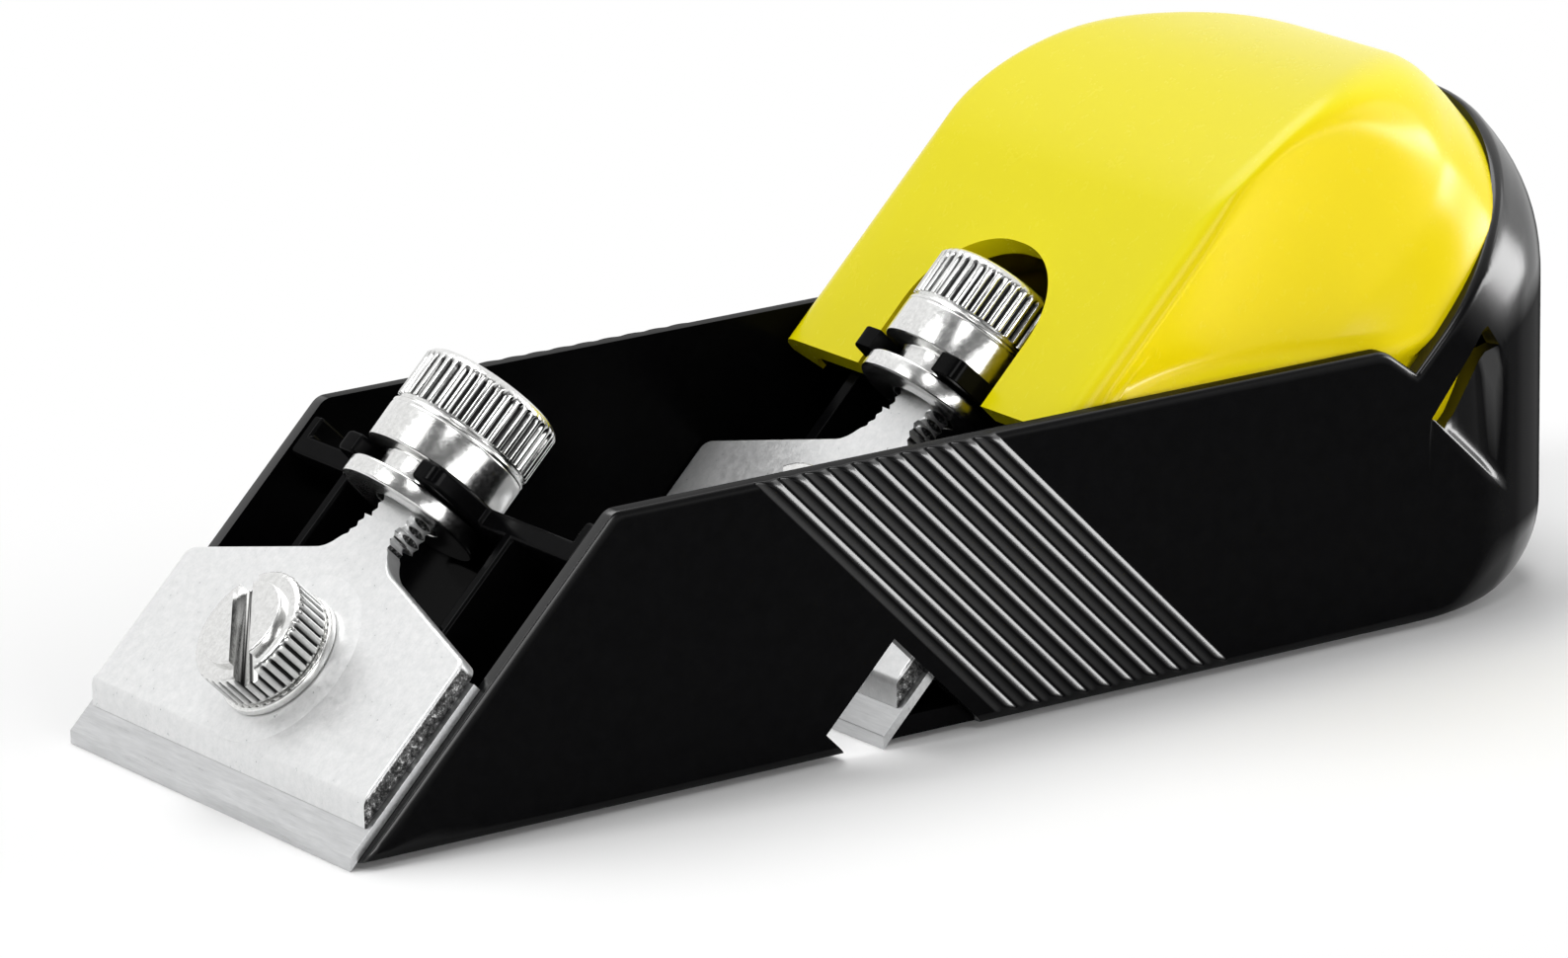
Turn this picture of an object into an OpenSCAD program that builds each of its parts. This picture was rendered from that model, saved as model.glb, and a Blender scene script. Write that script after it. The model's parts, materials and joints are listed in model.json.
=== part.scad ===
// Small rebate plane with replaceable blades, toe towards +X, sole on the plane Z = 0.
// The body is one black steel pressing. Two blade beds, one at the toe and one amidships,
// each carry a blade, a cast holder, a lock screw and an adjusting nut.
// The hollow yellow palm grip snaps into the heel of the body.
// The origin is at the middle of the sole's lower face.

/* [Body] */
// Length of the sole, toe to heel
body_length = 150; // [140:1:170]
// Width over the outside of the side walls
body_width = 52; // [51.2:0.2:53]
// Height of the side walls
wall_height = 29; // [27:0.5:31]
// Thickness of the side walls
wall_thickness = 1.6; // [1.4:0.1:1.8]
// Thickness of the sole
sole_thickness = 2; // [1.6:0.1:2.6]
// Radius of the long bottom edges
bend_radius = 1; // [0.6:0.1:1.4]
// Radius of the walls' upper front corners
wall_corner_radius = 2; // [1:0.5:4]

/* [Heel] */
// Radius of the heel's upright corners, seen from above
heel_corner_radius = 17; // [15:0.5:20]
// Radius of the heel's bottom edge, a wide rounding from the sole up to the back
heel_bottom_radius = 8.5; // [7:0.5:10]
// Height of the heel's upright part
heel_upright = 33; // [31:0.5:34]
// Distance from the heel to the middle of its domed top
dome_setback = 21.3; // [20.5:0.1:22]
// Height of the dome's middle above the walls
dome_rise = 0.6; // [0:0.1:1.5]
// Radius of the rim round the heel's domed top
dome_edge_radius = 10; // [9:0.5:11]
// Distance from the heel to the low point of the wall's upper edge
valley_setback = 24.7; // [23:0.1:27]
// Depth of that low point under the wall's upper edge
valley_depth = 3; // [2:0.5:4]
// Length of the slope down to that low point
valley_slope = 4.1; // [3:0.1:6]

// Distance from that low point to the front corner of the tabs that hold the grip
tab_setback = 1.8; // [1.4:0.1:2.2]
// Length of the pressed-in tabs
tab_length = 10.3; // [9:0.1:11]
// Distance from a tab's front corner back to its top corner
tab_peak = 7.2; // [6.5:0.1:8]
// Height of the tabs' lower corner above the sole
tab_low = 11.2; // [10:0.2:12]
// Height of the tabs' front corner above the sole
tab_middle = 21; // [20:0.2:22]
// Height of the tabs' top corner above the sole
tab_high = 29.6; // [29:0.2:30]
// Rise from a tab's front corner to the upper end of its back edge
tab_back_rise = 4; // [3:0.2:5]
// How far the top corner is pressed in
tab_press = 2.6; // [2:0.1:3]
// How far the back edge is pressed in
tab_sink = 0.3; // [0.2:0.1:0.5]

/* [Ribs] */
// Number of raised ribs on each wall
rib_count = 10; // [6:1:12]
// Distance between ribs along the body
rib_pitch = 2.86; // [2.4:0.02:3]
// Radius of a rib, half sunk in the wall
rib_radius = 0.6; // [0.4:0.05:0.7]
// Distance from the toe to the foot of the first rib
rib_start = 75; // [74:0.5:78]

/* [Beds] */
// Angle between the blade beds and the sole
bed_angle = 45; // [43:0.5:47]
// Distance between the toe's bed and the middle bed along the sole
bed_spacing = 61; // [60:0.5:63]
// Length of the mouth in front of the middle blade, down the slope of the bed
mouth_reach = 4; // [3:0.1:5]
// Reach of the side notch up the bed
notch_rise = 7.5; // [6.5:0.1:8]
// Reach of the side notch in front of the bed
notch_depth = 7.5; // [6.5:0.1:8.5]

/* [Blade] */
// Distance from the body's side to a blade's end
blade_inset = 1; // [0.8:0.1:1.3]
// Length of a blade up the bed
blade_length = 21; // [20:0.5:23]
// Thickness of a blade
blade_thickness = 0.95; // [0.8:0.05:1.1]
// How far a blade's edge stands below the sole
blade_set = 0.65; // [0:0.05:0.8]

/* [Holder] */
// Thickness of a holder's plate
holder_thickness = 1.9; // [1.6:0.1:2.2]
// Distance from the blade's edge to the holder's lip
lip_setback = 4.1; // [3:0.1:5]
// Length of the lip's chamfer
lip_chamfer = 1.85; // [1:0.05:2]
// Length of the holder's straight sides above its lip
holder_side = 18; // [16:0.5:20]
// Radius of the outer corners of the shoulders
shoulder_radius = 1.4; // [1:0.1:2]
// Rise of the sloping shoulders up to the tang
shoulder_length = 6; // [5:0.5:6.5]
// Radius of the hollow between a shoulder and the tang
neck_radius = 5; // [4:0.5:5.5]
// Radius of the round pad under the lock washer
pad_radius = 9.5; // [8:0.5:10]
// Height of that pad
pad_height = 0.15; // [0.1:0.05:0.3]
// Width of the threaded tang
tang_width = 6.2; // [5.6:0.1:6.4]
// Thickness of the tang
tang_thickness = 2.8; // [2.2:0.1:3]
// How far the tang reaches up the bed
tang_end = 44.5; // [42:0.5:46]

/* [Adjusting nut] */
// Radius of the nut's flange and head
nut_radius = 7.5; // [7:0.1:8]
// Radius of the groove in which the fork runs
nut_groove_radius = 5.05; // [4.8:0.05:5.4]
// Thickness of the flange below the groove
nut_flange = 1.9; // [1.5:0.1:2.4]
// Length of the smooth sleeve above the groove
nut_sleeve = 4.4; // [3.5:0.1:5.5]
// Length of the knurled head
nut_head = 6.2; // [5:0.1:7.5]
// Number of knurls on the head
nut_knurls = 44; // [36:1:50]
// Depth of a knurl
knurl_depth = 0.3; // [0.2:0.05:0.4]
// Plain ring between the sleeve and the knurls
nut_ring = 0.5; // [0.3:0.1:0.8]
// Chamfer at the end of the head
nut_chamfer = 0.8; // [0.4:0.1:1.2]
// Height of the nut's axis above the bed
nut_axis = 1; // [0.8:0.1:1.4]

/* [Lock screw] */
// Distance up the bed from the sole line to the lock screw
screw_place = 14.5; // [13:0.5:15]
// Radius of the knurled head
screw_head_radius = 6.35; // [5.8:0.05:6.8]
// Height of the knurled head
screw_head = 4.4; // [3.5:0.1:5.5]
// Radius of the raised boss on the head
screw_boss_radius = 4.7; // [4:0.1:5.2]
// Height of that boss
screw_boss = 0.76; // [0.5:0.02:1]
// Width of the slot across the head
slot_width = 2.4; // [1.6:0.1:2.6]
// Depth of the slot, from the top of the boss
slot_depth = 2.2; // [1.6:0.1:2.8]
// Bevel on the turned edges of the nuts and screw heads
turned_bevel = 0.4; // [0.2:0.1:0.6]
// Turn of the slot from the line up the bed
slot_turn = 44; // [0:1:90]
// Number of knurls on the head
screw_knurls = 38; // [30:1:44]
// Radius of the screw's shank
shank_radius = 2; // [1.8:0.05:2.2]
// Radius of the lock washer
washer_radius = 6.7; // [6.4:0.1:7.2]
// Thickness of the lock washer
washer_thickness = 1; // [0.8:0.1:1.3]

/* [Frog] */
// Half width over the frog's two webs
web_reach = 14.7; // [13:0.1:16]
// Thickness of the frog's sheet
frog_sheet = 1.5; // [1.2:0.1:1.8]
// Depth of the frog behind the bed
frog_depth = 8.6; // [8.4:0.1:9.4]
// Distance up the bed to the middle of the fork plate
fork_place = 35.9; // [35.5:0.1:36.5]
// Thickness of the fork plate
fork_thickness = 2.2; // [1.8:0.1:2.4]
// Depth of the fork plate behind the bed
fork_depth = 9.6; // [9.4:0.1:11]
// Height of the fork's horns in front of the bed
horn_height = 7; // [6:0.5:8]
// Half width over the horns
horn_reach = 9.2; // [8.8:0.1:9.6]
// How much narrower a horn is at its tip
horn_taper = 1; // [0.5:0.1:1.5]
// Radius of the horns' tips
horn_radius = 1.5; // [1:0.1:2]
// Length of the welded flanges above the fork plate
flange_length = 2.3; // [1.5:0.1:3]
// Radius of the threaded bush for the lock screw
bush_radius = 4.5; // [3.6:0.1:5]
// Height of that bush
bush_height = 4; // [3:0.1:4.2]

/* [Palm grip] */
// Height of the grip's front face in front of the bed
grip_face = 3.2; // [2.6:0.1:3.6]
// Distance up the bed to the lower edge of the front face
grip_foot = 34.3; // [34:0.1:34.6]
// Radius over which the front face turns into the sides
face_round = 3; // [2:0.1:3.4]
// Thickness of the grip's shell
grip_shell = 2.6; // [2:0.1:3]
// Room beside the middle nut in the arched opening round it
arch_side = 2.8; // [2.4:0.1:4]
// Room from the end of that nut to the top of the arch
arch_room = 4.3; // [3:0.1:7]
// Flat at the top of that arch
arch_flat = 1; // [0.6:0.2:2]
// Depth of the finger hollow in each side
finger_depth = 3; // [2:0.1:3.4]
// Distance from the front face back to the finger hollow
finger_setback = 1.2; // [0.8:0.1:2]
// Length of the finger hollow from front to back
finger_length = 23; // [18:0.5:24]
// Length of the finger hollow up the bed, with the part under its ledge
finger_height = 60; // [50:1:64]
// Distance up the bed to the middle of the finger hollow
finger_place = 48; // [44:1:50]
// Height above the walls of the ledge under the finger hollow
ledge_height = 0.5; // [0.3:0.1:1]
// Height above the sole at which the grip's sides end inside the body
grip_rim = 17; // [14:0.5:20]

/* [Fits] */
// Gap between flat pieces that rest or slide on each other
seat_gap = 0.05; // [0.02:0.01:0.08]
// Gap between the nut's groove and the fork
fork_gap = 0.1; // [0.05:0.01:0.15]
// Radial gap between turning pieces and their bores
running_gap = 0.08; // [0.04:0.01:0.1]
// Gap between a holder's side and the wall
holder_gap = 0.15; // [0.1:0.05:0.3]
// Gap round the lock screw's shank in the holder, the blade and the frog
shank_room = 0.4; // [0.3:0.1:0.6]
// How far the lock screw's end stands out behind the frog
screw_past = 0.5; // [0.2:0.1:1]
// Gap between the grip and the body
grip_gap = 0.2; // [0.15:0.05:0.3]
// Travel of a blade down the bed from where it is set
advance = 0.6; // [0.3:0.1:1]
// Travel of a blade up the bed from where it is set
retreat = 1.5; // [1:0.1:2]

/* [Hidden] */
$fn = 64;
sliver = 0.01;
beyond = 1;
toe_x = body_length / 2;
heel_x = -body_length / 2;
inner_width = body_width - 2 * wall_thickness;
blade_width = body_width - 2 * blade_inset;
holder_width = inner_width - 2 * holder_gap;
front_bed_x = toe_x;
middle_bed_x = toe_x - bed_spacing;
edge_slope = blade_set / sin(bed_angle) + seat_gap / tan(bed_angle);
blade_top = seat_gap + blade_thickness;
holder_low = blade_top + seat_gap;
holder_top = holder_low + holder_thickness;
pad_top = holder_top + pad_height;
lip_place = lip_setback - edge_slope;
side_end = lip_place + holder_side;
neck_place = side_end + shoulder_length;
tang_radius = norm([tang_width, tang_thickness]) / 2;
nut_bore = tang_radius + running_gap;
groove_low = fork_place - fork_thickness / 2 - fork_gap;
groove_high = fork_place + fork_thickness / 2 + fork_gap;
nut_low = groove_low - nut_flange;
head_low = groove_high + nut_sleeve;
nut_high = head_low + nut_head;
arch_radius = nut_radius + arch_side;
arch_top = nut_high + arch_room;
screw_low = pad_top + 2 * seat_gap + washer_thickness;
screw_top = screw_low + screw_head;
screw_tip = -frog_depth - screw_past;
shank_bore = shank_radius + running_gap;
fork_slot = nut_groove_radius + fork_gap;
web_front = -2 * seat_gap;
dome_x = heel_x + dome_setback;
heel_front_x = dome_x + heel_bottom_radius;
dome_radius = body_width / 2;
crown_width = inner_width / 2 - grip_gap;
grip_cavity = crown_width - grip_shell - finger_depth;
dome_height = bed_height(dome_x, wall_height + dome_rise);
dome_place = bed_rise(dome_x, wall_height + dome_rise);
valley_x = heel_x + valley_setback;
valley_z = wall_height - valley_depth;
tab_tip = [valley_x - tab_setback, tab_middle];
tab_top = [tab_tip.x - tab_peak, tab_high];
tab_foot = [tab_tip.x - tab_length, tab_low];
tab_back = [tab_tip.x - tab_length, tab_middle + tab_back_rise];
finger_radius = (pow(finger_length / 2, 2) + pow(finger_depth, 2)) / (2 * finger_depth);

// The grip's crown from its front face back: depth behind the face, height up the bed
// under the dome's top, and radius of the upper corners
CROWN = [
    [0, 33.4, 1.5],
    [0.5, 27.2, 2],
    [1.8, 21.5, 3],
    [4.4, 16.2, 5],
    [7.8, 11.2, 8],
    [13.6, 4.7, 12],
    [18.2, 1.7, 16],
    [23.2, 0.2, 20]
];

// Places seen from the middle bed: height in front of the bed, and distance up it
function bed_height(x, z) = (x - middle_bed_x) * sin(bed_angle) + z * cos(bed_angle);
function bed_rise(x, z) = z * sin(bed_angle) - (x - middle_bed_x) * cos(bed_angle);

function unit(v) = v / norm(v);
function turned(v, angle) = [
    v.x * cos(angle) - v.y * sin(angle),
    v.x * sin(angle) + v.y * cos(angle)
];

// Points of an arc that rounds the corner b between a and c
function rounded(a, b, c, radius, steps = 8) =
    let(
        u = unit(a - b),
        v = unit(c - b),
        half = acos(u * v) / 2,
        middle = b + unit(u + v) * radius / sin(half),
        start = b + u * radius / tan(half) - middle,
        finish = b + v * radius / tan(half) - middle,
        side = sign(start.x * finish.y - start.y * finish.x)
    )
    [for (i = [0 : steps]) middle + turned(start, side * (180 - 2 * half) * i / steps)];

// Rectangle with its lower corners rounded
function tray(width, height, radius) =
    let(a = [-width / 2, height], b = [-width / 2, 0], c = [width / 2, 0], d = [width / 2, height])
    concat([d, a], rounded(a, b, c, radius), rounded(b, c, d, radius));

// How far a rounded bottom edge stands back at a height above the bottom
function edge_inset(radius, height) =
    height >= radius ? 0 : radius - sqrt(height * (2 * radius - height));

// Plan of the heel from front_x back, grown smaller by inset, and by edge_inset at its sides and back
function heel_plan(inset, front_x, side_edge, back_edge) =
    let(
        half = body_width / 2 - inset - side_edge,
        back = heel_x + inset + back_edge,
        a = [front_x, half],
        b = [back, half],
        c = [back, -half],
        d = [front_x, -half]
    )
    concat([d, a], rounded(a, b, c, heel_corner_radius - inset), rounded(b, c, d, heel_corner_radius - inset));

// Arch with straight sides up to a rounded top, standing on low
function arch(half_width, low, top, radius) =
    let(
        a = [low, half_width],
        b = [top, half_width],
        c = [top, -half_width],
        d = [low, -half_width]
    )
    concat([d, a], rounded(a, b, c, radius), rounded(b, c, d, radius));

// Puts what is drawn with X up the bed and Z out of it on a bed that meets the sole at bed_x
module on_bed(bed_x) {
    translate([bed_x, 0, 0])
        rotate([0, bed_angle, 0])
            rotate([0, 0, 180])
                children();
}

// Extrudes an outline in X and Z across the body, centred on Y = 0
module across(width) {
    rotate([90, 0, 0])
        linear_extrude(width, center = true)
            children();
}

// Extrudes an outline in Y and Z along the bed
module along_bed(start, length) {
    translate([start, 0, 0])
        rotate([90, 0, 90])
            linear_extrude(length)
                children();
}

module round_bar(low, high, radius) {
    translate([0, 0, low])
        cylinder(h = high - low, r = radius);
}

// Ring whose axis stands square to the bed, the rim of the heel's dome
module dome_rim(ring_radius, edge_radius) {
    on_bed(middle_bed_x)
        translate([dome_place, 0, dome_height])
            rotate_extrude($fn = 64)
                translate([ring_radius, 0])
                    circle(r = edge_radius, $fn = 32);
}

// The heel's solid form, grown smaller by inset on every side
module heel_form(inset) {
    base = inset > 0 ? sole_thickness : 0;
    edge = heel_bottom_radius - inset;
    bend = bend_radius;
    hull() {
        translate([0, 0, base + edge])
            linear_extrude(heel_upright - base - edge)
                polygon(heel_plan(inset, heel_front_x, 0, 0));
        for (angle = [0 : 15 : 75]) {
            height = edge * (1 - cos(angle));
            translate([0, 0, base + height])
                linear_extrude(sliver)
                    polygon(heel_plan(inset, heel_front_x, edge_inset(bend, height), edge_inset(edge, height)));
        }
        dome_rim(dome_radius - dome_edge_radius, dome_edge_radius - inset);
    }
}

// Side view of the pressing: beds' slope at the toe, straight top, low point and strap
module side_view() {
    toe = [toe_x, 0];
    top_front = [toe_x - wall_height / tan(bed_angle), wall_height];
    slope_start = [valley_x + valley_slope, wall_height];
    valley = [valley_x, valley_z];
    strap_rise = body_length / 2;
    strap_top = valley + strap_rise * [-cos(bed_angle), sin(bed_angle)];
    back = [strap_top.x, 0];
    polygon(concat(
        [toe],
        rounded(toe, top_front, slope_start, wall_corner_radius),
        [slope_start, valley, strap_top, back]
    ));
}

// Outer form of the pressing with inset 0, its inside with inset wall_thickness
module channel_form(inset) {
    base = inset > 0 ? sole_thickness : 0;
    translate([heel_front_x - sliver, 0, base])
        rotate([90, 0, 90])
            linear_extrude(body_length)
                polygon(tray(body_width - 2 * inset, 2 * wall_height, bend_radius));
    heel_form(inset);
}

// Side notch and mouth for the middle blade
module middle_mouth() {
    on_bed(middle_bed_x) {
        for (side = [-1, 1]) {
            translate([-mouth_reach, side * body_width / 2 - wall_thickness, -body_width / 2])
                cube([mouth_reach + notch_rise, 2 * wall_thickness, body_width / 2 + notch_depth]);
        }
        translate([-mouth_reach, -inner_width / 2 - sliver, -seat_gap])
            cube([mouth_reach + notch_rise, inner_width + 2 * sliver, notch_depth + seat_gap]);
        translate([notch_rise - sliver, -blade_width / 2 - 2 * seat_gap, -seat_gap])
            cube([
                blade_length - edge_slope + retreat + grip_gap - notch_rise,
                blade_width + 4 * seat_gap,
                blade_thickness + 4 * seat_gap
            ]);
    }
}

module tab_window() {
    across(2 * body_width)
        polygon([tab_tip, tab_top, tab_back, tab_foot]);
}

// Facet of the tab between three corners, each with its distance pressed in
module tab_facet(corners, presses, side) {
    hull() {
        for (i = [0 : 2]) {
            translate([corners[i].x, side * (body_width / 2 - wall_thickness / 2 - presses[i]), corners[i].y])
                sphere(d = wall_thickness, $fn = 12);
        }
    }
}

module wall_ribs() {
    length = (wall_height - 4 * rib_radius) / sin(bed_angle);
    for (side = [-1, 1], i = [0 : rib_count - 1]) {
        translate([toe_x - rib_start - i * rib_pitch, side * body_width / 2, 2 * rib_radius])
            rotate([0, 90 - bed_angle, 0])
                cylinder(h = length, r = rib_radius, $fn = 16);
    }
}

module body_shell() {
    color([0.05, 0.05, 0.055])
        union() {
            difference() {
                intersection() {
                    channel_form(0);
                    across(2 * body_width)
                        side_view();
                }
                channel_form(wall_thickness);
                middle_mouth();
                tab_window();
            }
            for (side = [-1, 1]) {
                tab_facet([tab_tip, tab_top, tab_foot], [0, tab_press, tab_sink], side);
                tab_facet([tab_top, tab_back, tab_foot], [tab_press, tab_sink, tab_sink], side);
            }
            wall_ribs();
        }
}

module grip_form(half_width, inset, low) {
    hull() {
        on_bed(middle_bed_x)
            for (slice = CROWN) {
                translate([0, 0, grip_face - slice[0] - inset])
                    linear_extrude(sliver)
                        polygon(arch(
                            half_width - edge_inset(face_round, slice[0]),
                            low,
                            dome_place + dome_radius - wall_thickness - grip_gap - slice[1] - inset,
                            slice[2]
                        ));
            }
        dome_rim(half_width + wall_thickness + grip_gap - dome_edge_radius, dome_edge_radius - wall_thickness - grip_gap - inset);
    }
}

// Shallow hollow in a side, a shallow cap of a sphere stretched up the bed, with a ledge below
module finger_hollow(side) {
    intersection() {
        on_bed(middle_bed_x)
            translate([
                finger_place,
                -side * (crown_width - finger_depth + finger_radius),
                grip_face - finger_setback - finger_length / 2
            ])
                scale([finger_height / finger_length, 1, 1])
                    sphere(r = finger_radius, $fn = 96);
        translate([-body_length, -body_length, wall_height + ledge_height])
            cube(2 * body_length);
    }
}

// Arched opening in the front face, round the middle nut
module grip_arch() {
    on_bed(middle_bed_x)
        translate([0, 0, -3 * grip_shell])
            linear_extrude(3 * grip_shell + 2 * grip_face)
                polygon(arch(arch_radius, grip_foot - beyond, arch_top, arch_radius - arch_flat / 2));
}

// Room for the fork plate and its flanges under the grip's sides
module fork_room() {
    on_bed(middle_bed_x)
        translate([grip_foot - beyond, -body_width, -2 * body_width])
            cube([
                fork_place + fork_thickness / 2 + flange_length + grip_gap - grip_foot + beyond,
                2 * body_width,
                2 * body_width + web_front + grip_gap
            ]);
}

// Pockets in which the body's pressed-in tabs catch
module tab_pockets() {
    reach = body_width / 2 - wall_thickness - tab_press - 2 * grip_gap;
    for (side = [-1, 1]) {
        translate([tab_foot.x - beyond, side * (reach + body_width / 2) - body_width / 2, 0])
            cube([tab_tip.x - tab_foot.x + 2 * beyond, body_width, tab_top.y + beyond]);
    }
}

module palm_grip() {
    color([0.93, 0.8, 0.05])
        difference() {
            grip_form(crown_width, 0, grip_foot);
            grip_form(grip_cavity, grip_shell, grip_foot - 2 * grip_shell);
            grip_arch();
            fork_room();
            tab_pockets();
            finger_hollow(-1);
            finger_hollow(1);
            translate([-body_length, -body_width, -body_width])
                cube([2 * body_length, 2 * body_width, body_width + grip_rim]);
        }
}

module frog(bed_x) {
    color([0.09, 0.09, 0.1])
        difference() {
            union() {
                intersection() {
                    on_bed(bed_x)
                        frog_channel();
                    translate([-body_length, -body_width, sole_thickness + seat_gap])
                        cube([2 * body_length, 2 * body_width, body_width]);
                }
                on_bed(bed_x)
                    fork_plate();
            }
            on_bed(bed_x) {
                translate([screw_place, 0, 0])
                    round_bar(-2 * frog_depth, 0, shank_radius + shank_room);
            }
        }
}

module frog_channel() {
    difference() {
        translate([0, -web_reach, -frog_depth])
            cube([fork_place, 2 * web_reach, frog_depth + web_front]);
        translate([-frog_sheet, frog_sheet - web_reach, frog_sheet - frog_depth])
            cube([2 * fork_place, 2 * (web_reach - frog_sheet), frog_depth]);
    }
}

module fork_plate() {
    half = inner_width / 2 - seat_gap;
    difference() {
        along_bed(fork_place - fork_thickness / 2, fork_thickness)
            polygon(concat(
                [[-half, -fork_depth], [half, -fork_depth], [half, web_front], [horn_reach, web_front]],
                rounded([horn_reach, 0], [horn_reach - horn_taper, horn_height], [0, horn_height], horn_radius),
                rounded([0, horn_height], [horn_taper - horn_reach, horn_height], [-horn_reach, 0], horn_radius),
                [[-horn_reach, web_front], [-half, web_front]]
            ));
        translate([0, 0, nut_axis])
            rotate([0, 90, 0])
                cylinder(h = 2 * fork_place, r = fork_slot);
        translate([0, -fork_slot, nut_axis])
            cube([2 * fork_place, 2 * fork_slot, 2 * horn_height]);
    }
    for (side = [-1, 1]) {
        translate([fork_place, side * (half - frog_sheet / 2) - frog_sheet / 2, -fork_depth])
            cube([fork_thickness / 2 + flange_length, frog_sheet, fork_depth + web_front]);
    }
}

module lock_bush(bed_x) {
    color([0.55, 0.55, 0.57])
        on_bed(bed_x)
            translate([screw_place, 0, frog_sheet - frog_depth])
                difference() {
                    cylinder(h = bush_height, r = bush_radius);
                    translate([0, 0, -beyond])
                        cylinder(h = bush_height + 2 * beyond, r = shank_bore);
                }
}

// Slot that lets the holder or blade travel past the lock screw's shank
module travel_slot(low, high, radius) {
    translate([screw_place - retreat, 0, 0])
        round_bar(low, high, radius);
    translate([screw_place + advance, 0, 0])
        round_bar(low, high, radius);
    translate([screw_place - retreat, -radius, low])
        cube([retreat + advance, 2 * radius, high - low]);
}

module blade(bed_x) {
    color([0.62, 0.63, 0.65])
        on_bed(bed_x)
            difference() {
                translate([-edge_slope, 0, seat_gap])
                    across(blade_width)
                        polygon([
                            [0, 0],
                            [blade_length, 0],
                            [blade_length, blade_thickness],
                            [blade_thickness / tan(bed_angle), blade_thickness]
                        ]);
                travel_slot(-beyond, 2 * blade_top, shank_radius + shank_room);
            }
}

module holder_plan() {
    lip = [lip_place, holder_width / 2];
    shoulder = [side_end, holder_width / 2];
    neck = [neck_place, tang_width / 2];
    tang = [tang_end, tang_width / 2];
    points = concat(
        [lip],
        rounded(lip, shoulder, neck, shoulder_radius),
        rounded(shoulder, neck, tang, neck_radius)
    );
    mirrored = [for (i = [len(points) - 1 : -1 : 0]) [points[i].x, -points[i].y]];
    polygon(concat(points, mirrored));
}

module holder(bed_x) {
    color([0.72, 0.73, 0.72])
        on_bed(bed_x)
            difference() {
                union() {
                    intersection() {
                        translate([0, 0, holder_low])
                            linear_extrude(holder_thickness)
                                holder_plan();
                        across(2 * body_width)
                            polygon([
                                [lip_place, holder_low],
                                [2 * tang_end, holder_low],
                                [2 * tang_end, holder_top],
                                [lip_place + lip_chamfer, holder_top]
                            ]);
                    }
                    translate([screw_place, 0, 0])
                        round_bar(holder_low + sliver, pad_top, pad_radius);
                    tang();
                }
                travel_slot(0, 2 * holder_top, shank_radius + shank_room);
            }
}

module tang() {
    intersection() {
        translate([neck_place, -tang_width / 2, nut_axis - tang_thickness / 2])
            cube([tang_end - neck_place, tang_width, tang_thickness]);
        translate([side_end, 0, nut_axis])
            rotate([0, 90, 0])
                cylinder(h = tang_end, r = tang_radius);
    }
}

function knurled(radius, count) = [
    for (i = [0 : 2 * count - 1])
        (radius - (i % 2) * knurl_depth) * [cos(180 * i / count), sin(180 * i / count)]
];

module adjusting_nut(bed_x) {
    color([0.82, 0.83, 0.85])
        on_bed(bed_x)
            translate([0, 0, nut_axis])
                rotate([0, 90, 0])
                    difference() {
                        union() {
                            rotate_extrude()
                                polygon([
                                    [0, nut_low],
                                    [nut_radius - turned_bevel, nut_low],
                                    [nut_radius, nut_low + turned_bevel],
                                    [nut_radius, groove_low],
                                    [nut_groove_radius, groove_low],
                                    [nut_groove_radius, groove_high],
                                    [nut_radius, groove_high],
                                    [nut_radius, head_low],
                                    [nut_radius - knurl_depth, head_low],
                                    [nut_radius - knurl_depth, head_low + nut_ring],
                                    [0, head_low + nut_ring]
                                ]);
                            intersection() {
                                translate([0, 0, head_low + nut_ring - sliver])
                                    linear_extrude(nut_head)
                                        polygon(knurled(nut_radius, nut_knurls));
                                rotate_extrude()
                                    polygon([
                                        [0, head_low],
                                        [nut_radius + beyond, head_low],
                                        [nut_radius + beyond, nut_high - nut_chamfer - beyond],
                                        [nut_radius - nut_chamfer, nut_high],
                                        [0, nut_high]
                                    ]);
                            }
                        }
                        translate([0, 0, nut_low - beyond])
                            cylinder(h = nut_high - nut_low + 2 * beyond, r = nut_bore);
                    }
}

module lock_washer(bed_x) {
    color([0.78, 0.79, 0.8])
        on_bed(bed_x)
            translate([screw_place, 0, pad_top + seat_gap])
                difference() {
                    cylinder(h = washer_thickness, r = washer_radius);
                    translate([0, 0, -beyond])
                        cylinder(h = washer_thickness + 2 * beyond, r = shank_bore);
                }
}

module lock_screw(bed_x) {
    color([0.82, 0.83, 0.85])
        on_bed(bed_x)
            translate([screw_place, 0, 0])
                difference() {
                    union() {
                        round_bar(screw_tip, screw_low + beyond, shank_radius);
                        intersection() {
                            translate([0, 0, screw_low])
                                linear_extrude(screw_head)
                                    polygon(knurled(screw_head_radius, screw_knurls));
                            rotate_extrude()
                                polygon([
                                    [0, screw_low],
                                    [screw_head_radius - turned_bevel, screw_low],
                                    [screw_head_radius + beyond, screw_low + turned_bevel + beyond],
                                    [screw_head_radius + beyond, screw_top - turned_bevel - beyond],
                                    [screw_head_radius - turned_bevel, screw_top],
                                    [0, screw_top]
                                ]);
                        }
                        round_bar(screw_top - sliver, screw_top + screw_boss, screw_boss_radius);
                    }
                    rotate([0, 0, slot_turn])
                        translate([-nut_radius, -slot_width / 2, screw_top + screw_boss - slot_depth])
                            cube([2 * nut_radius, slot_width, slot_depth + beyond]);
                }
}

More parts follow.
